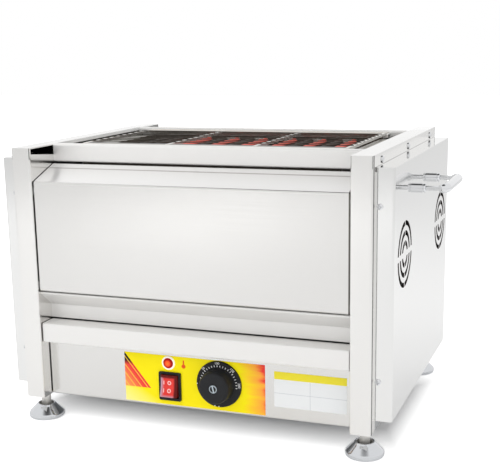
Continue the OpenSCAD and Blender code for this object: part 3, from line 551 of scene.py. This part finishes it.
def printed_label():
    """Printed polyester film with a satin surface: yellow, with slanting bands of black, red and
    orange across its left corner and tongues of orange and red along its right end. It is given a
    faint painted glow."""
    material, add, shader, where = new_material("printed_polyester_film", "#F4E20C", 0.0, 0.4,
                                                Specular_IOR_Level=0.15)
    x, _, z = add("axes", where)
    low, high = place(LABEL_LOW), place(LABEL_HIGH)
    from_left, from_right = add("subtract", x, float(low[0])), add("subtract", float(high[0]), x)
    from_top, height = add("subtract", float(high[2]), z), add("subtract", z, float(low[2]))
    # yellow, paler towards the lower left corner
    corner = add("add", from_left, add("multiply", height, 1.6))
    pale = add("map", corner, 0.75, 0.0, 4 * MM, 46 * MM)
    ground = add("mix", pale, "#F4E207", "#F1EFA0")
    # corner bands: how far a point lies to the left of the slanting edge
    slant = add("subtract", add("multiply", from_top, CORNER_SLOPE), from_left)
    in_corner = all_of(add, add("greater_than", slant, 0.0),
                       add("less_than", from_top, CORNER_DROP * MM))
    below_black = add("map", from_top, 0.0, 1.0, 9 * MM, 14 * MM)
    bands = add("mix", below_black, "#1F1D1A", "#E8403A")
    fade = add("mix", add("map", slant, 0.0, 1.0, 6 * MM, 28 * MM), bands, "#F39A55")
    band = 3.6 * MM
    stripe = add("less_than", add("pingpong", add("subtract", slant, band), band), 0.5 * MM)
    hot = add("mix", stripe, add("mix", below_black, bands, fade), "#F6C64A")
    ground = add("mix", in_corner, ground, hot)
    # right end: tongues whose tips lie at different distances from the edge
    stretched = add("stretch", where, size(45.5, 1000, 6.67))
    tongue = add("multiply", add("noise", stretched, 1.0, 3.0, 0.6), -24 * MM)
    reach = add("add", add("add", from_right, tongue), add("multiply", from_top, 0.12))
    ground = add("mix", add("map", reach, 1.0, 0.0, -6 * MM, 16 * MM), ground, "#F39A3E")
    ground = add("mix", add("map", reach, 1.0, 0.0, -11.5 * MM, -5 * MM), ground, "#E63A34")
    # a drop-shaped heat mark beside the lamp
    stem_at = (HEAT_MARK[0], HEAT_MARK[1] + 3.6 * MM)
    drop = any_of(add, ring_mask(add, x, z, HEAT_MARK, 0.0, 2.3),
                  bar_mask(add, x, z, stem_at, 0.8, 3.0))
    ground = add("mix", drop, ground, "#E2571F")
    # painted glow: the film gives off a faint light of its own
    connect(shader, Base_Color=ground, Emission_Color=ground, Emission_Strength=0.16)
    return material


def blank_card():
    """A blank printed card: a yellow band over a white field ruled into plain boxes."""
    material, add, shader, where = new_material("blank_printed_card", "#F1F1EE", 0.0, 0.4,
                                                Coat_Weight=0.2)
    x, _, z = add("axes", where)
    low, high = place(CARD_LOW), place(CARD_HIGH)
    band_z = high[2] - CARD_BAND * MM
    middle, row = (low[0] + high[0]) / 2, (low[2] + band_z) / 2
    rule = any_of(add, add("less_than", off(add, x, middle), CARD_RULE * MM),
                  add("less_than", off(add, z, row), CARD_RULE * MM))
    field = add("mix", rule, "#EEF0F1", "#BFC3C8")
    band = add("greater_than", z, float(band_z))
    connect(shader, Base_Color=add("mix", band, field, "#F5E50E"))
    return material


CHROME = chrome()
# the grate's flat bars: ground stainless, scraped bright by use
BAR = mottled("ground_stainless_bar", "#DAD7D1", "#F1EFEC", 0.5, 0.35, 5.56, 4.0, 0.08)
# the grate's wires: spring steel, blackened by fat and heat
WIRE = mottled("blackened_steel_wire", "#34312D", "#6A645B", 0.6, 0.5, 3.33, 3.0)
# the cap in the grip's middle: satin nickel plate, with a cool tint
NICKEL = mottled("satin_nickel_plate", "#B5C4CD", "#D3DDE3", 0.7, 0.35, 2.5)
# the tubes' bushes: glazed porcelain, off-white under a clear glaze
PORCELAIN = mottled("glazed_porcelain", "#DED7CA", "#F0EBE1", 0.0, 0.25, 3.33, Coat_Weight=0.5)
# knob, switch housing and gland: moulded ABS, a soft black
BLACK = moulded("black_moulded_abs", "#1D1E20", "#27282B", roughness=0.46,
                Specular_IOR_Level=0.2)
# fans: glass filled nylon, duller and darker
NYLON = moulded("black_glass_filled_nylon", "#121212", "#1C1B1A", roughness=0.5,
                Specular_IOR_Level=0.25)
# terminal block: white polycarbonate
WHITE = moulded("white_polycarbonate", "#F1EFEA", "#FBFAF6", roughness=0.3)
# thermostat body: phenolic bakelite, brown and fairly dull
BAKELITE = moulded("brown_phenolic_bakelite", "#6A4A2E", "#7C5939", roughness=0.45)
# the white print on the dial: pad printed ink, matt
PRINT = moulded("white_pad_print", "#E9E9EA", "#F6F6F6", roughness=0.5)
# the lamp's rim: milky white polycarbonate, with a faint painted glow
MILKY = moulded("milky_white_polycarbonate", "#FDFAF4", "#FFFDF8", roughness=0.4,
                Specular_IOR_Level=0.2, Emission_Color="#FFF2DE", Emission_Strength=0.3)


# ------------ shapes
def make_piece(name, verts, faces, material, body, smooth_below=40.0):
    """Puts points in cabinet millimetres and faces into a mesh, closes its seams and poles, turns
    its faces outwards, and makes it ride on a body."""
    mesh = bpy.data.meshes.new(name)
    mesh.from_pydata(place(verts).tolist(), [], np.asarray(faces).tolist())
    work = bmesh.new()
    work.from_mesh(mesh)
    bmesh.ops.remove_doubles(work, verts=work.verts, dist=1e-6)
    bmesh.ops.dissolve_degenerate(work, edges=work.edges, dist=1e-7)
    bmesh.ops.recalc_face_normals(work, faces=work.faces)
    work.to_mesh(mesh)
    work.free()
    mesh.shade_smooth()
    mesh.set_sharp_from_angle(angle=math.radians(smooth_below))
    mesh.materials.append(material)
    made = bpy.data.objects.new(name, mesh)
    bpy.context.scene.collection.objects.link(made)
    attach(made, body)
    return made


def grid_faces(rows, columns, closed=True, first=0):
    """The four-sided faces of a grid of points, row by row, whose columns may close round."""
    r = np.arange(rows - 1)[:, None]
    c = np.arange(columns if closed else columns - 1)[None, :]
    here, beside = r * columns + c, r * columns + (c + 1) % columns
    return np.stack([here, beside, beside + columns, here + columns], -1).reshape(-1, 4) + first


AXES = {"x": np.array([[0, 0, 1], [1, 0, 0], [0, 1, 0]], float),
        "y": np.array([[1, 0, 0], [0, 0, -1], [0, 1, 0]], float),
        "z": np.eye(3)}


def turned(profile, centre, axis="z", sides=64):
    """A turned shape: each (radius, height) of the profile is carried round the axis through
    centre, as radius times cosine and sine of the angle. Along y, heights run to the front."""
    radius, height = np.array(profile, float).T
    angle = np.linspace(0, 2 * np.pi, sides, endpoint=False)
    ring = np.stack([np.cos(angle), np.sin(angle)], -1)
    heights = np.broadcast_to(height[:, None, None], (len(height), sides, 1))
    points = np.concatenate([radius[:, None, None] * ring[None], heights], -1).reshape(-1, 3)
    return points @ AXES[axis].T + np.array(centre, float), grid_faces(len(radius), sides)


def rounded(profile, radius, steps=4):
    """A profile with its inner corners rounded: each corner becomes a quarter-like curve between
    points a radius before and after it, by the quadratic Bezier rule."""
    p = np.array(profile, float)
    out = [p[0]]
    for before, corner, after in zip(p[:-2], p[1:-1], p[2:]):
        into, out_of = before - corner, after - corner
        reach = min(radius, 0.45 * np.linalg.norm(into), 0.45 * np.linalg.norm(out_of))
        a = corner + into / np.linalg.norm(into) * reach
        b = corner + out_of / np.linalg.norm(out_of) * reach
        t = np.linspace(0, 1, steps + 1)[:, None]
        out.extend((1 - t) ** 2 * a + 2 * t * (1 - t) * corner + t ** 2 * b)
    out.append(p[-1])
    return np.array(out)


def swept(path, radii, across, sides=24):
    """A round bar along a path in one plane: at each point, a circle of its radius stands square
    to the path, spanned by the plane's normal and the normal's cross product with the direction.
    Both ends close to a point."""
    path, radii, across = (np.asarray(a, float) for a in (path, radii, across))
    direction = np.gradient(path, axis=0)
    direction /= np.linalg.norm(direction, axis=1)[:, None]
    side = np.cross(direction, across)
    angle = np.linspace(0, 2 * np.pi, sides, endpoint=False)[None, :, None]
    circle = np.cos(angle) * across[None, None] + np.sin(angle) * side[:, None]
    rings = path[:, None] + radii[:, None, None] * circle
    ends = np.repeat(path[[0, -1]][:, None], sides, 1)
    rings = np.concatenate([ends[:1], rings, ends[1:]])
    return rings.reshape(-1, 3), grid_faces(len(rings), sides)


def blocks(lows, highs):
    """Many blocks at once: corner points from each low and high corner, and six faces each."""
    lows, highs = np.atleast_2d(lows).astype(float), np.atleast_2d(highs).astype(float)
    pick = np.array([[i & 1, i >> 1 & 1, i >> 2 & 1] for i in range(8)], bool)
    points = np.where(pick[None], highs[:, None], lows[:, None]).reshape(-1, 3)
    faces = np.array([[0, 2, 3, 1], [4, 5, 7, 6], [0, 1, 5, 4], [2, 6, 7, 3], [0, 4, 6, 2],
                      [1, 3, 7, 5]])
    return points, (faces[None] + 8 * np.arange(len(lows))[:, None, None]).reshape(-1, 4)


def joined(parts):
    """Several (points, faces) as one."""
    points, faces, count = [], [], 0
    for p, f in parts:
        points.append(p)
        faces.append(np.asarray(f) + count)
        count += len(p)
    return np.concatenate(points), np.concatenate(faces)


def bevel(piece, width):
    """Rounds the edges of a piece by a width in millimetres."""
    made = piece.modifiers.new("bevel", "BEVEL")
    made.width = width * MM
    made.segments = 2
    made.limit_method = "ANGLE"
    made.harden_normals = True


# ------------ feet and sleeves
def feet_and_sleeves():
    """Bell-shaped levelling feet, each on its stem, and the tubes round the stems."""
    bell_finish = bell_chrome()
    for name in [body for body in frame["bodies"] if body.startswith("foot_")]:
        x, y, _ = middle_of(name)
        centre = (x, y, cabinet_box(name)[0][2])
        bell = make_piece(name + "_bell", *turned(rounded(FOOT_PROFILE, 1.6), centre),
                          bell_finish, name)
        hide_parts(name)
    low, high = cabinet_box("leg_sleeves")
    wall = [(SLEEVE_R - 0.2, low[2]), (SLEEVE_R, low[2] + 0.3), (SLEEVE_R, high[2]),
            (SLEEVE_BORE, high[2]), (SLEEVE_BORE, low[2]), (SLEEVE_R - 0.2, low[2])]
    x, y = high[0] - SLEEVE_R, low[1] + SLEEVE_R
    tubes = [turned(wall, (sx * x, fy, 0)) for sx in (-1, 1) for fy in (y, DEPTH - y)]
    sleeves = make_piece("leg_sleeve_tubes", *joined(tubes), satin_tube(), "cabinet")
    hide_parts("leg_sleeves")


feet_and_sleeves()


# ------------ handles
def handle(side, name):
    """A bow handle: thin legs run out of the cover into a thicker grip, whose ends bend back
    round a quarter circle. The radius grows along the first millimetres of each bend. A six-sided
    nut holds each leg behind the cover."""
    t = np.linspace(0, 1, 9)
    quarter = t * np.pi / 2
    near, far = LEGS_Y
    leg_x = [COVER_X - SHEET, GRIP_X - BEND_R - 2.0]
    bend_x = GRIP_X - BEND_R + BEND_R * np.sin(quarter)
    bend_y = near + BEND_R - BEND_R * np.cos(quarter)
    half_path = np.array([[x, near] for x in leg_x] + list(zip(bend_x, bend_y)))
    bend_radii = LEG_R + (GRIP_R - LEG_R) * np.minimum(1, 0.45 + 2.2 * t)
    half_radii = np.concatenate([[LEG_R, LEG_R], bend_radii])
    path = np.concatenate([half_path, half_path[::-1] * [1, -1] + [0, near + far]])
    radii = np.concatenate([half_radii, half_radii[::-1]])
    path = np.column_stack([path * [side, 1], np.full(len(path), HANDLE_Z)])
    nut, nut_l = [(0, 0), (4.5, 0), (4.5, 3.2), (3.6, 4.0), (0, 4.0)], 4.0
    nut_x = side * (COVER_X - SHEET) - (nut_l if side > 0 else 0)
    nuts = [turned(nut, (nut_x, y, HANDLE_Z), "x", 6) for y in LEGS_Y]
    piece = make_piece(name + "_bow", *joined([swept(path, radii, (0, 0, 1), 32)] + nuts), CHROME,
                       "cabinet")
    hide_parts(name)


def bosses():
    """Round bosses between the covers and the handles' legs, with a groove near the outer end."""
    profile = [(LEG_R, 0), (5.0, 0), (5.0, 5.8), (4.5, 6.2), (4.5, 6.9), (4.9, 7.3), (4.7, 8.6),
               (4.1, 9.0), (LEG_R, 9.0), (LEG_R, 0)]
    parts = [turned([(r, side * h) for r, h in profile], (side * COVER_X, y, HANDLE_Z), "x", 40)
             for side in (-1, 1) for y in LEGS_Y]
    piece = make_piece("handle_boss_rings", *joined(parts), CHROME, "cabinet")
    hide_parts("handle_bosses")


handle(1, "handle_right")
handle(-1, "handle_left")
bosses()


# ------------ screws
def screw_head(centre, axis, sign, radius, height, shank_r, sides=32, rings=9):
    """A pan head: height falls from the middle as the fourth power of the radius, and a
    cross-shaped recess is sunk where a point lies near either diameter and inside the recess's
    radius. A plain shank stands behind it."""
    r = np.linspace(0, 1, rings)
    angle = np.linspace(0, 2 * np.pi, sides, endpoint=False)
    dome = height * (1 - 0.45 * r ** 4)
    u, v = r[:, None] * np.cos(angle), r[:, None] * np.sin(angle)
    near = np.minimum(np.abs(u), np.abs(v))
    recess = (np.clip((0.16 - near) / 0.08, 0, 1)
              * np.clip((0.62 - r[:, None]) / 0.12, 0, 1))
    top = np.stack([radius * u, radius * v, dome[:, None] - 0.55 * height * recess], -1)
    circle = np.stack([u[-1], v[-1], np.zeros(sides)], -1)[None]
    base, rim = circle * radius, circle * shank_r
    back = np.array([0, 0, -SHANK])
    points = np.concatenate([top, base, rim, rim + back, 0 * rim + back])
    flat = points.reshape(-1, 3) * [1, 1, sign]
    return flat @ AXES[axis].T + np.array(centre, float), grid_faces(len(points), sides)


def screws():
    """Pan-head screws: two at each end of each side cover, and three along each side rail."""
    small = [screw_head((s * SCREW_X, y, z), "y", 1 if y < DEPTH / 2 else -1, 3.0, 1.7, 1.5)
             for s in (-1, 1) for y in (COVER_END, DEPTH - COVER_END) for z in SCREW_Z]
    piece = make_piece("cover_screw_heads", *joined(small), CHROME, "cabinet")
    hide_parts("cover_screws")
    large = [screw_head((s * POST_OUT, y, RAIL_SCREW_Z), "x", s, 3.7, 1.6, 2.0)
             for s in (-1, 1) for y in RAIL_SCREW_Y]
    piece = make_piece("rail_screw_heads", *joined(large), CHROME, "cabinet")
    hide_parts("rail_screws")


screws()


# ------------ grate
def grate():
    """The lift-out grate: a flat strip at each end, flat bars let into the strips, and wires laid
    across the bars."""
    low, high = cabinet_box("grate")
    strip_top = high[2] - WIRE_D + WELD - BAR_PROUD
    ends = [((low[0], y, strip_top - STRIP_T), (high[0], y + STRIP_W, strip_top))
            for y in (low[1], high[1] - STRIP_W)]
    strips = make_piece("grate_strips", *blocks(*zip(*ends)), grate_strip_steel(), "grate")
    bevel(strips, 0.35)
    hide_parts("grate")
    bars = [((x - BAR_W / 2, BAR_FROM, low[2]), (x + BAR_W / 2, DEPTH - BAR_FROM, low[2] + BAR_T))
            for x in np.linspace(low[0] + BAR_W / 2, high[0] - BAR_W / 2, BAR_COUNT)]
    flat = make_piece("grate_bars", *blocks(*zip(*bars)), BAR, "grate")
    bevel(flat, 0.35)
    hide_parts("grate")
    first, last = low[1] + STRIP_W, high[1] - STRIP_W
    radius = WIRE_D / 2
    wires = []
    for i in range(WIRE_COUNT):
        y, z = first + (i + 0.5) * (last - first) / WIRE_COUNT, high[2] - radius
        path = [(x, y, z) for x in (low[0], (low[0] + high[0]) / 2, high[0])]
        wires.append(swept(path, [radius] * 3, (0, 0, 1), 12))
    wire = make_piece("grate_wires", *joined(wires), WIRE, "grate")
    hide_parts("grate")


grate()


# ------------ heating tubes
def heating_tubes():
    """U-shaped sheathed tubes: each has two legs that meet in a half-circle bend, and a thin pin
    at the front of each leg. The leftmost is cold. Each other one glows on its right leg."""
    hot = heating_tube("heating_tube_hot", True, True)
    dim = heating_tube("heating_tube_dim", False, True)
    cold = heating_tube("heating_tube_cold", False, False)
    start, neck = tubes_low[1], tubes_low[1] + TUBE_PIN
    angle = np.linspace(np.pi, 0, 19)
    half_gap = TUBE_GAP / 2
    for i in range(TUBE_COUNT):
        x = (i - (TUBE_COUNT - 1) / 2) * TUBE_PITCH
        bend = np.column_stack([x + half_gap * np.cos(angle), TUBE_END + half_gap * np.sin(angle)])
        for name, side, half in (("left", -1, bend[:10]), ("right", 1, bend[9:][::-1])):
            along = np.array([start, neck, neck + 0.01, neck + 1, CHAMBER_FRONT + 30,
                              TUBE_END - 30])
            leg = np.column_stack([np.full(len(along), x + side * half_gap), along])
            path = np.concatenate([leg, half])
            path = np.column_stack([path, np.full(len(path), TUBE_Z)])
            radii = [TUBE_D / 4] * 2 + [TUBE_D / 2] * (len(path) - 2)
            leg = make_piece(f"heating_tube_{i + 1}_{name}", *swept(path, radii, (0, 0, 1), 20),
                             cold if i == 0 else hot if side > 0 else dim, "cabinet")
            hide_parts("heating_tubes")


heating_tubes()


# ------------ lamp, switch, dial
def lamp():
    """The pilot lamp: a white moulded rim with a soft edge, and a domed red lens."""
    low, high = cabinet_box("lamp_body")
    r = (high[0] - low[0]) / 2
    centre = ((low[0] + high[0]) / 2, float(LABEL_LOW[1]), (low[2] + high[2]) / 2)
    rim = [(0, -22.0), (4.9, -22.0), (4.9, 0), (r - 0.3, 0), (r, 0.4), (r - 0.1, 1.1),
           (r - 0.8, 1.9), (5.9, 1.9), (5.6, 1.5), (5.6, 0.9), (0, 0.9)]
    body = make_piece("lamp_rim", *turned(rounded(rim, 0.4), centre, "y"), MILKY, "cabinet")
    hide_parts("lamp_body")
    dome = [(0, 0.9), (LENS_R, 0.9), (LENS_R, 1.4)]
    dome += [(LENS_R * np.cos(a), 1.4 + 1.9 * np.sin(a)) for a in np.linspace(0, np.pi / 2, 9)]
    lens = make_piece("lamp_dome", *turned(dome, centre, "y"), lamp_lens(), "cabinet")
    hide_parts("lamp_lens")


def rocker():
    """The rocker paddle: a face that rises towards both ends as the square of the height, swept
    across its width, with rounded long edges, turned on its pivot by half the swing."""
    rows, columns = 25, 13
    x, _, z = middle_of("switch_housing")
    pivot = np.array([x, PIVOT_Y, z])
    v = np.linspace(-1, 1, rows)[:, None]
    u = np.linspace(-1, 1, columns)[None, :]
    edge = np.clip((np.abs(u) - 0.88) / 0.12, 0, 1) ** 2 * 0.9
    front = -7.4 - 1.6 * v ** 2 + edge
    face = np.stack([ROCKER_HALF_W * u + 0 * v, front, ROCKER_HALF_H * v + 0 * u], -1)
    skirt = face.copy()
    skirt[..., 1] = np.where(np.abs(v) > 0.4, -1.0 + 0 * u, 1.4 + 0 * u)
    points = np.concatenate([face.reshape(-1, 3), skirt.reshape(-1, 3)])
    count = rows * columns
    border = np.concatenate([np.arange(columns), np.arange(1, rows) * columns + columns - 1,
                             count - 1 - np.arange(1, columns),
                             np.arange(rows - 2, 0, -1) * columns])
    beside = np.roll(border, -1)
    faces = np.concatenate([grid_faces(rows, columns, False),
                            grid_faces(rows, columns, False, count)[:, ::-1],
                            np.stack([border, beside, beside + count, border + count], -1)])
    lean = math.radians(ROCKER_LEAN)
    turn = np.array([[1, 0, 0], [0, math.cos(lean), -math.sin(lean)],
                     [0, math.sin(lean), math.cos(lean)]])
    end = np.array([PIVOT_HALF, 0, 0])
    pin = swept([pivot - end, pivot, pivot + end], [PIVOT_R] * 3, (0, 0, 1), 16)
    piece = make_piece("rocker_paddle", *joined([(points @ turn.T + pivot, faces), pin]),
                       red_rocker(), "rocker", 50)
    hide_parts("switch_rocker")


def on_dial(radius, clock, lift=0.0):
    """A point in front of the dial's face, at a radius and a clockwise angle from the top."""
    a = math.radians(clock)
    return np.array([KNOB_X + radius * math.sin(a), KNOB_BACK - DIAL_T - lift,
                     KNOB_Z + radius * math.cos(a)])


def dial_tick(clock):
    """A short printed line along the dial's radius at a clock angle: a thin block."""
    inner, outer = on_dial(TICK_FROM, clock), on_dial(TICK_TO, clock)
    along = (outer - inner) / np.linalg.norm(outer - inner)
    wide = np.cross(along, [0, 1, 0]) * TICK_HALF_W
    flat = np.array([inner - wide, inner + wide, outer + wide, outer - wide])
    faces = np.array([[0, 1, 2, 3], [7, 6, 5, 4], [0, 4, 5, 1], [1, 5, 6, 2], [2, 6, 7, 3],
                      [3, 7, 4, 0]])
    return np.concatenate([flat, flat - [0, INK, 0]]), faces


def dial_number(text, clock):
    """A plain number printed near the dial's edge, upright along the radius at its clock angle."""
    curve = bpy.data.curves.new("dial_number_" + text, "FONT")
    curve.body = text
    curve.size = NUMBER_H * MM
    curve.align_x = "CENTER"
    curve.align_y = "CENTER"
    curve.extrude = INK / 2 * MM
    source = bpy.data.objects.new("number_source_" + text, curve)
    bpy.context.scene.collection.objects.link(source)
    bpy.context.view_layer.update()
    mesh = bpy.data.meshes.new_from_object(
        source.evaluated_get(bpy.context.evaluated_depsgraph_get()))
    bpy.data.objects.remove(source)
    at = place(on_dial(NUMBERS_R, clock, INK / 2))
    upright = Matrix.Rotation(math.radians(90), 4, "X")
    around = Matrix.Rotation(math.radians(clock), 4, "Y")
    mesh.transform(Matrix.Translation(Vector(at)) @ around @ upright)
    mesh.materials.clear()
    mesh.materials.append(PRINT)
    made = bpy.data.objects.new("dial_number_" + text, mesh)
    bpy.context.scene.collection.objects.link(made)
    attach(made, "knob")


def dial_knob():
    """The thermostat's knob: a flat dial with its print, a round grip with a soft edge in front
    of it, and a ring with a slotted screw in the grip's middle."""
    centre = (KNOB_X, KNOB_BACK, KNOB_Z)
    r, tip = GRIP_KNOB_R, DIAL_T + GRIP_KNOB_L
    profile = [(0, 0), (DIAL_R - 0.1, 0), (DIAL_R, 0.3), (DIAL_R - 0.5, DIAL_T), (r + 0.9, DIAL_T),
               (r, DIAL_T + 1.0), (r - 0.6, tip - 3.4), (r - 1.6, tip - 1.0), (r - 3.6, tip),
               (5.2, tip), (4.8, tip - 0.6), (0, tip - 0.6)]
    knob = make_piece("dial_and_grip", *turned(rounded(profile, 0.7), centre, "y", 96), BLACK,
                      "knob")
    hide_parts("control_knob")
    seat = tip - 0.6
    ring = [(3.3, seat), (4.1, seat), (4.2, seat + 0.5), (3.9, seat + 0.8), (3.5, seat + 0.8),
            (3.3, seat + 0.4), (3.3, seat)]
    points, faces = blocks([(-0.65, -0.5, -3.4)], [(0.65, 0.0, 3.4)])
    lean = math.radians(SLOT_LEAN)
    turn = np.array([[math.cos(lean), 0, math.sin(lean)], [0, 1, 0],
                     [-math.sin(lean), 0, math.cos(lean)]])
    bar = points @ turn + [KNOB_X, KNOB_BACK - seat, KNOB_Z], faces
    cap = make_piece("grip_cap_ring", *joined([turned(ring, centre, "y", 48), bar]), NICKEL,
                     "knob")
    dot = [(0, 0), (0.55, 0), (0.55, INK), (0, INK)]
    marks = [dial_tick(clock) for clock in TICKS]
    marks += [turned(dot, on_dial(OFF_DOTS_R, clock), "y", 16) for clock in OFF_DOTS]
    ticks = make_piece("dial_ticks", *joined(marks), PRINT, "knob")
    for text, clock in NUMBERS.items():
        dial_number(text, clock)


lamp()
rocker()
dial_knob()


# a thin blank card on the control panel, right of the label
card = make_piece("blank_card", *blocks([CARD_LOW], [CARD_HIGH]), blank_card(), "cabinet")

# ------------ finishes of the CAD nodes
FINISHES = {
    stainless_rail(): """post_front_left post_front_right post_rear_left post_rear_right
        side_rail_left side_rail_right""",
    stainless(): "front_cover rear_cover rear_lower_panel control_panel",
    satin_stainless(): "front_rail rear_rail lower_crosspiece tray_front",
    bright_polish(): "side_cover_left side_cover_right",
    galvanised(): """base_side_left base_side_right base_pan compartment_shelf front_cover_clips
        inner_side_left inner_side_right tray_runners tray_pan tube_supports""",
    chamber_steel(): "chamber_liner reflector",
    CHROME: "thermostat_shaft",
    PORCELAIN: "tube_insulators",
    NYLON: """fan_frame_left_front fan_frame_left_rear fan_frame_right_front
        fan_frame_right_rear fan_rotor_left_front fan_rotor_left_rear fan_rotor_right_front
        fan_rotor_right_rear""",
    printed_label(): "control_label",
    WHITE: "terminal_block",
    BLACK: "switch_housing cable_gland",
    BAKELITE: "thermostat_body",
}
for finish, names in FINISHES.items():
    for name in names.split():
        data = frame["nodes"][name].data
        data.materials.clear()
        data.materials.append(finish)

# ------------ floor, light
# metres
FLOOR_REACH = 6.0
HALF_W, HALF_D = 0.2237, 0.158
SIDE_STEEPER = 2.4
SHADE_FROM, SHADE_TO = 0.028, 0.092
NEAR, FAR = 0.45, 1.1
AIM = Vector((0, 0, 0.15))
# name: place, width and length, power; those over the floor point straight down
LAMPS = {"key": ((-0.7, -1.1, 1.7), (1.4, 1.4), 6.0),
         "fill": ((1.6, -0.9, 1.2), (1.6, 1.6), 2.8),
         "top": ((0.0, -0.3, 2.0), (1.8, 1.8), 2.6),
         "floor_front": ((-0.27, -0.5, 0.45), (0.2, 0.9), 0.38),
         "floor_far": ((-0.55, -1.5, 0.35), (0.25, 0.5), 1.4),
         "floor_right": ((0.75, 0.5, 0.5), (0.5, 1.2), 1.3)}
STRIP_YAW = -0.41


def white_world():
    """A white world, a little dimmer to matt surfaces, whose ceiling only mirrors see as dark."""
    world = bpy.data.worlds.new("studio")
    bpy.context.scene.world = world
    world.use_nodes = True
    add = partial(add_node, world.node_tree)
    ray = {output.name: output for output in add("ray")}
    _, _, upward = add("axes", add("coordinates", give="Generated"))
    ceiling = all_of(add, add("map", upward, 0.0, 0.92, 0.87, 0.92), ray["Is Glossy Ray"])
    seen = any_of(add, ray["Is Camera Ray"], ray["Is Glossy Ray"], ray["Is Transmission Ray"])
    connect(world.node_tree.nodes["Background"], Color="#FFFFFF",
            Strength=add("subtract", add("map", seen, 0.7, 1.0), ceiling))


def paper_floor():
    """A white floor that keeps the object's shadow. It glows to the camera, fully far from the
    object and least under the object's middle, so that the real shadow shows there, in a shape
    that this glow partly paints round the object's outline. It glows a little to mirrors and matt
    surfaces."""
    mesh = bpy.data.meshes.new("floor")
    r = FLOOR_REACH
    mesh.from_pydata([(-r, -r, 0), (r, -r, 0), (r, r, 0), (-r, r, 0)], [], [(0, 1, 2, 3)])
    floor = bpy.data.objects.new("floor", mesh)
    bpy.context.scene.collection.objects.link(floor)
    material = bpy.data.materials.new("white_paper_floor")
    material.use_nodes = True
    material.node_tree.nodes.clear()
    add = partial(add_node, material.node_tree)
    ray = {output.name: output for output in add("ray")}
    where = add("coordinates")
    x, y, _ = add("axes", where)
    # how far a point lies inside the object's outline, counted faster from its sides
    from_side = add("multiply", add("subtract", HALF_W, add("absolute", x)), SIDE_STEEPER)
    inset = add("minimum", from_side, add("subtract", HALF_D, add("absolute", y)))
    # painted shadow: the glow to the camera falls off inside the object's outline
    near = add("map", inset, 0.62, 0.03, SHADE_FROM, SHADE_TO)
    glow = any_of(add, near, add("map", add("length", where), 0.0, 1.0, NEAR, FAR))
    bounced = add("add", add("multiply", ray["Is Glossy Ray"], 0.14),
                  add("multiply", ray["Is Diffuse Ray"], 0.25))
    strength = add("add", all_of(add, glow, ray["Is Camera Ray"]), bounced)
    add("surface", add("both", add("diffuse", "#F6F6F6"), add("glow", "#FFFFFF", strength)))
    mesh.materials.append(material)


def soft_lamps():
    """Soft lamps that mirrors don't see: three aimed at the object, and three over the floor."""
    for name, (at, across, power) in LAMPS.items():
        data = bpy.data.lights.new(name, "AREA")
        data.shape = "RECTANGLE"
        data.size, data.size_y = across
        data.energy = power
        made = bpy.data.objects.new(name, data)
        made.location = at
        made.visible_glossy = False
        if name.startswith("floor"):
            made.rotation_euler = (0, 0, STRIP_YAW)
        else:
            made.rotation_euler = (AIM - Vector(at)).to_track_quat("-Z", "Y").to_euler()
        bpy.context.scene.collection.objects.link(made)


white_world()
paper_floor()
soft_lamps()
bpy.context.scene.view_settings.view_transform = "Standard"
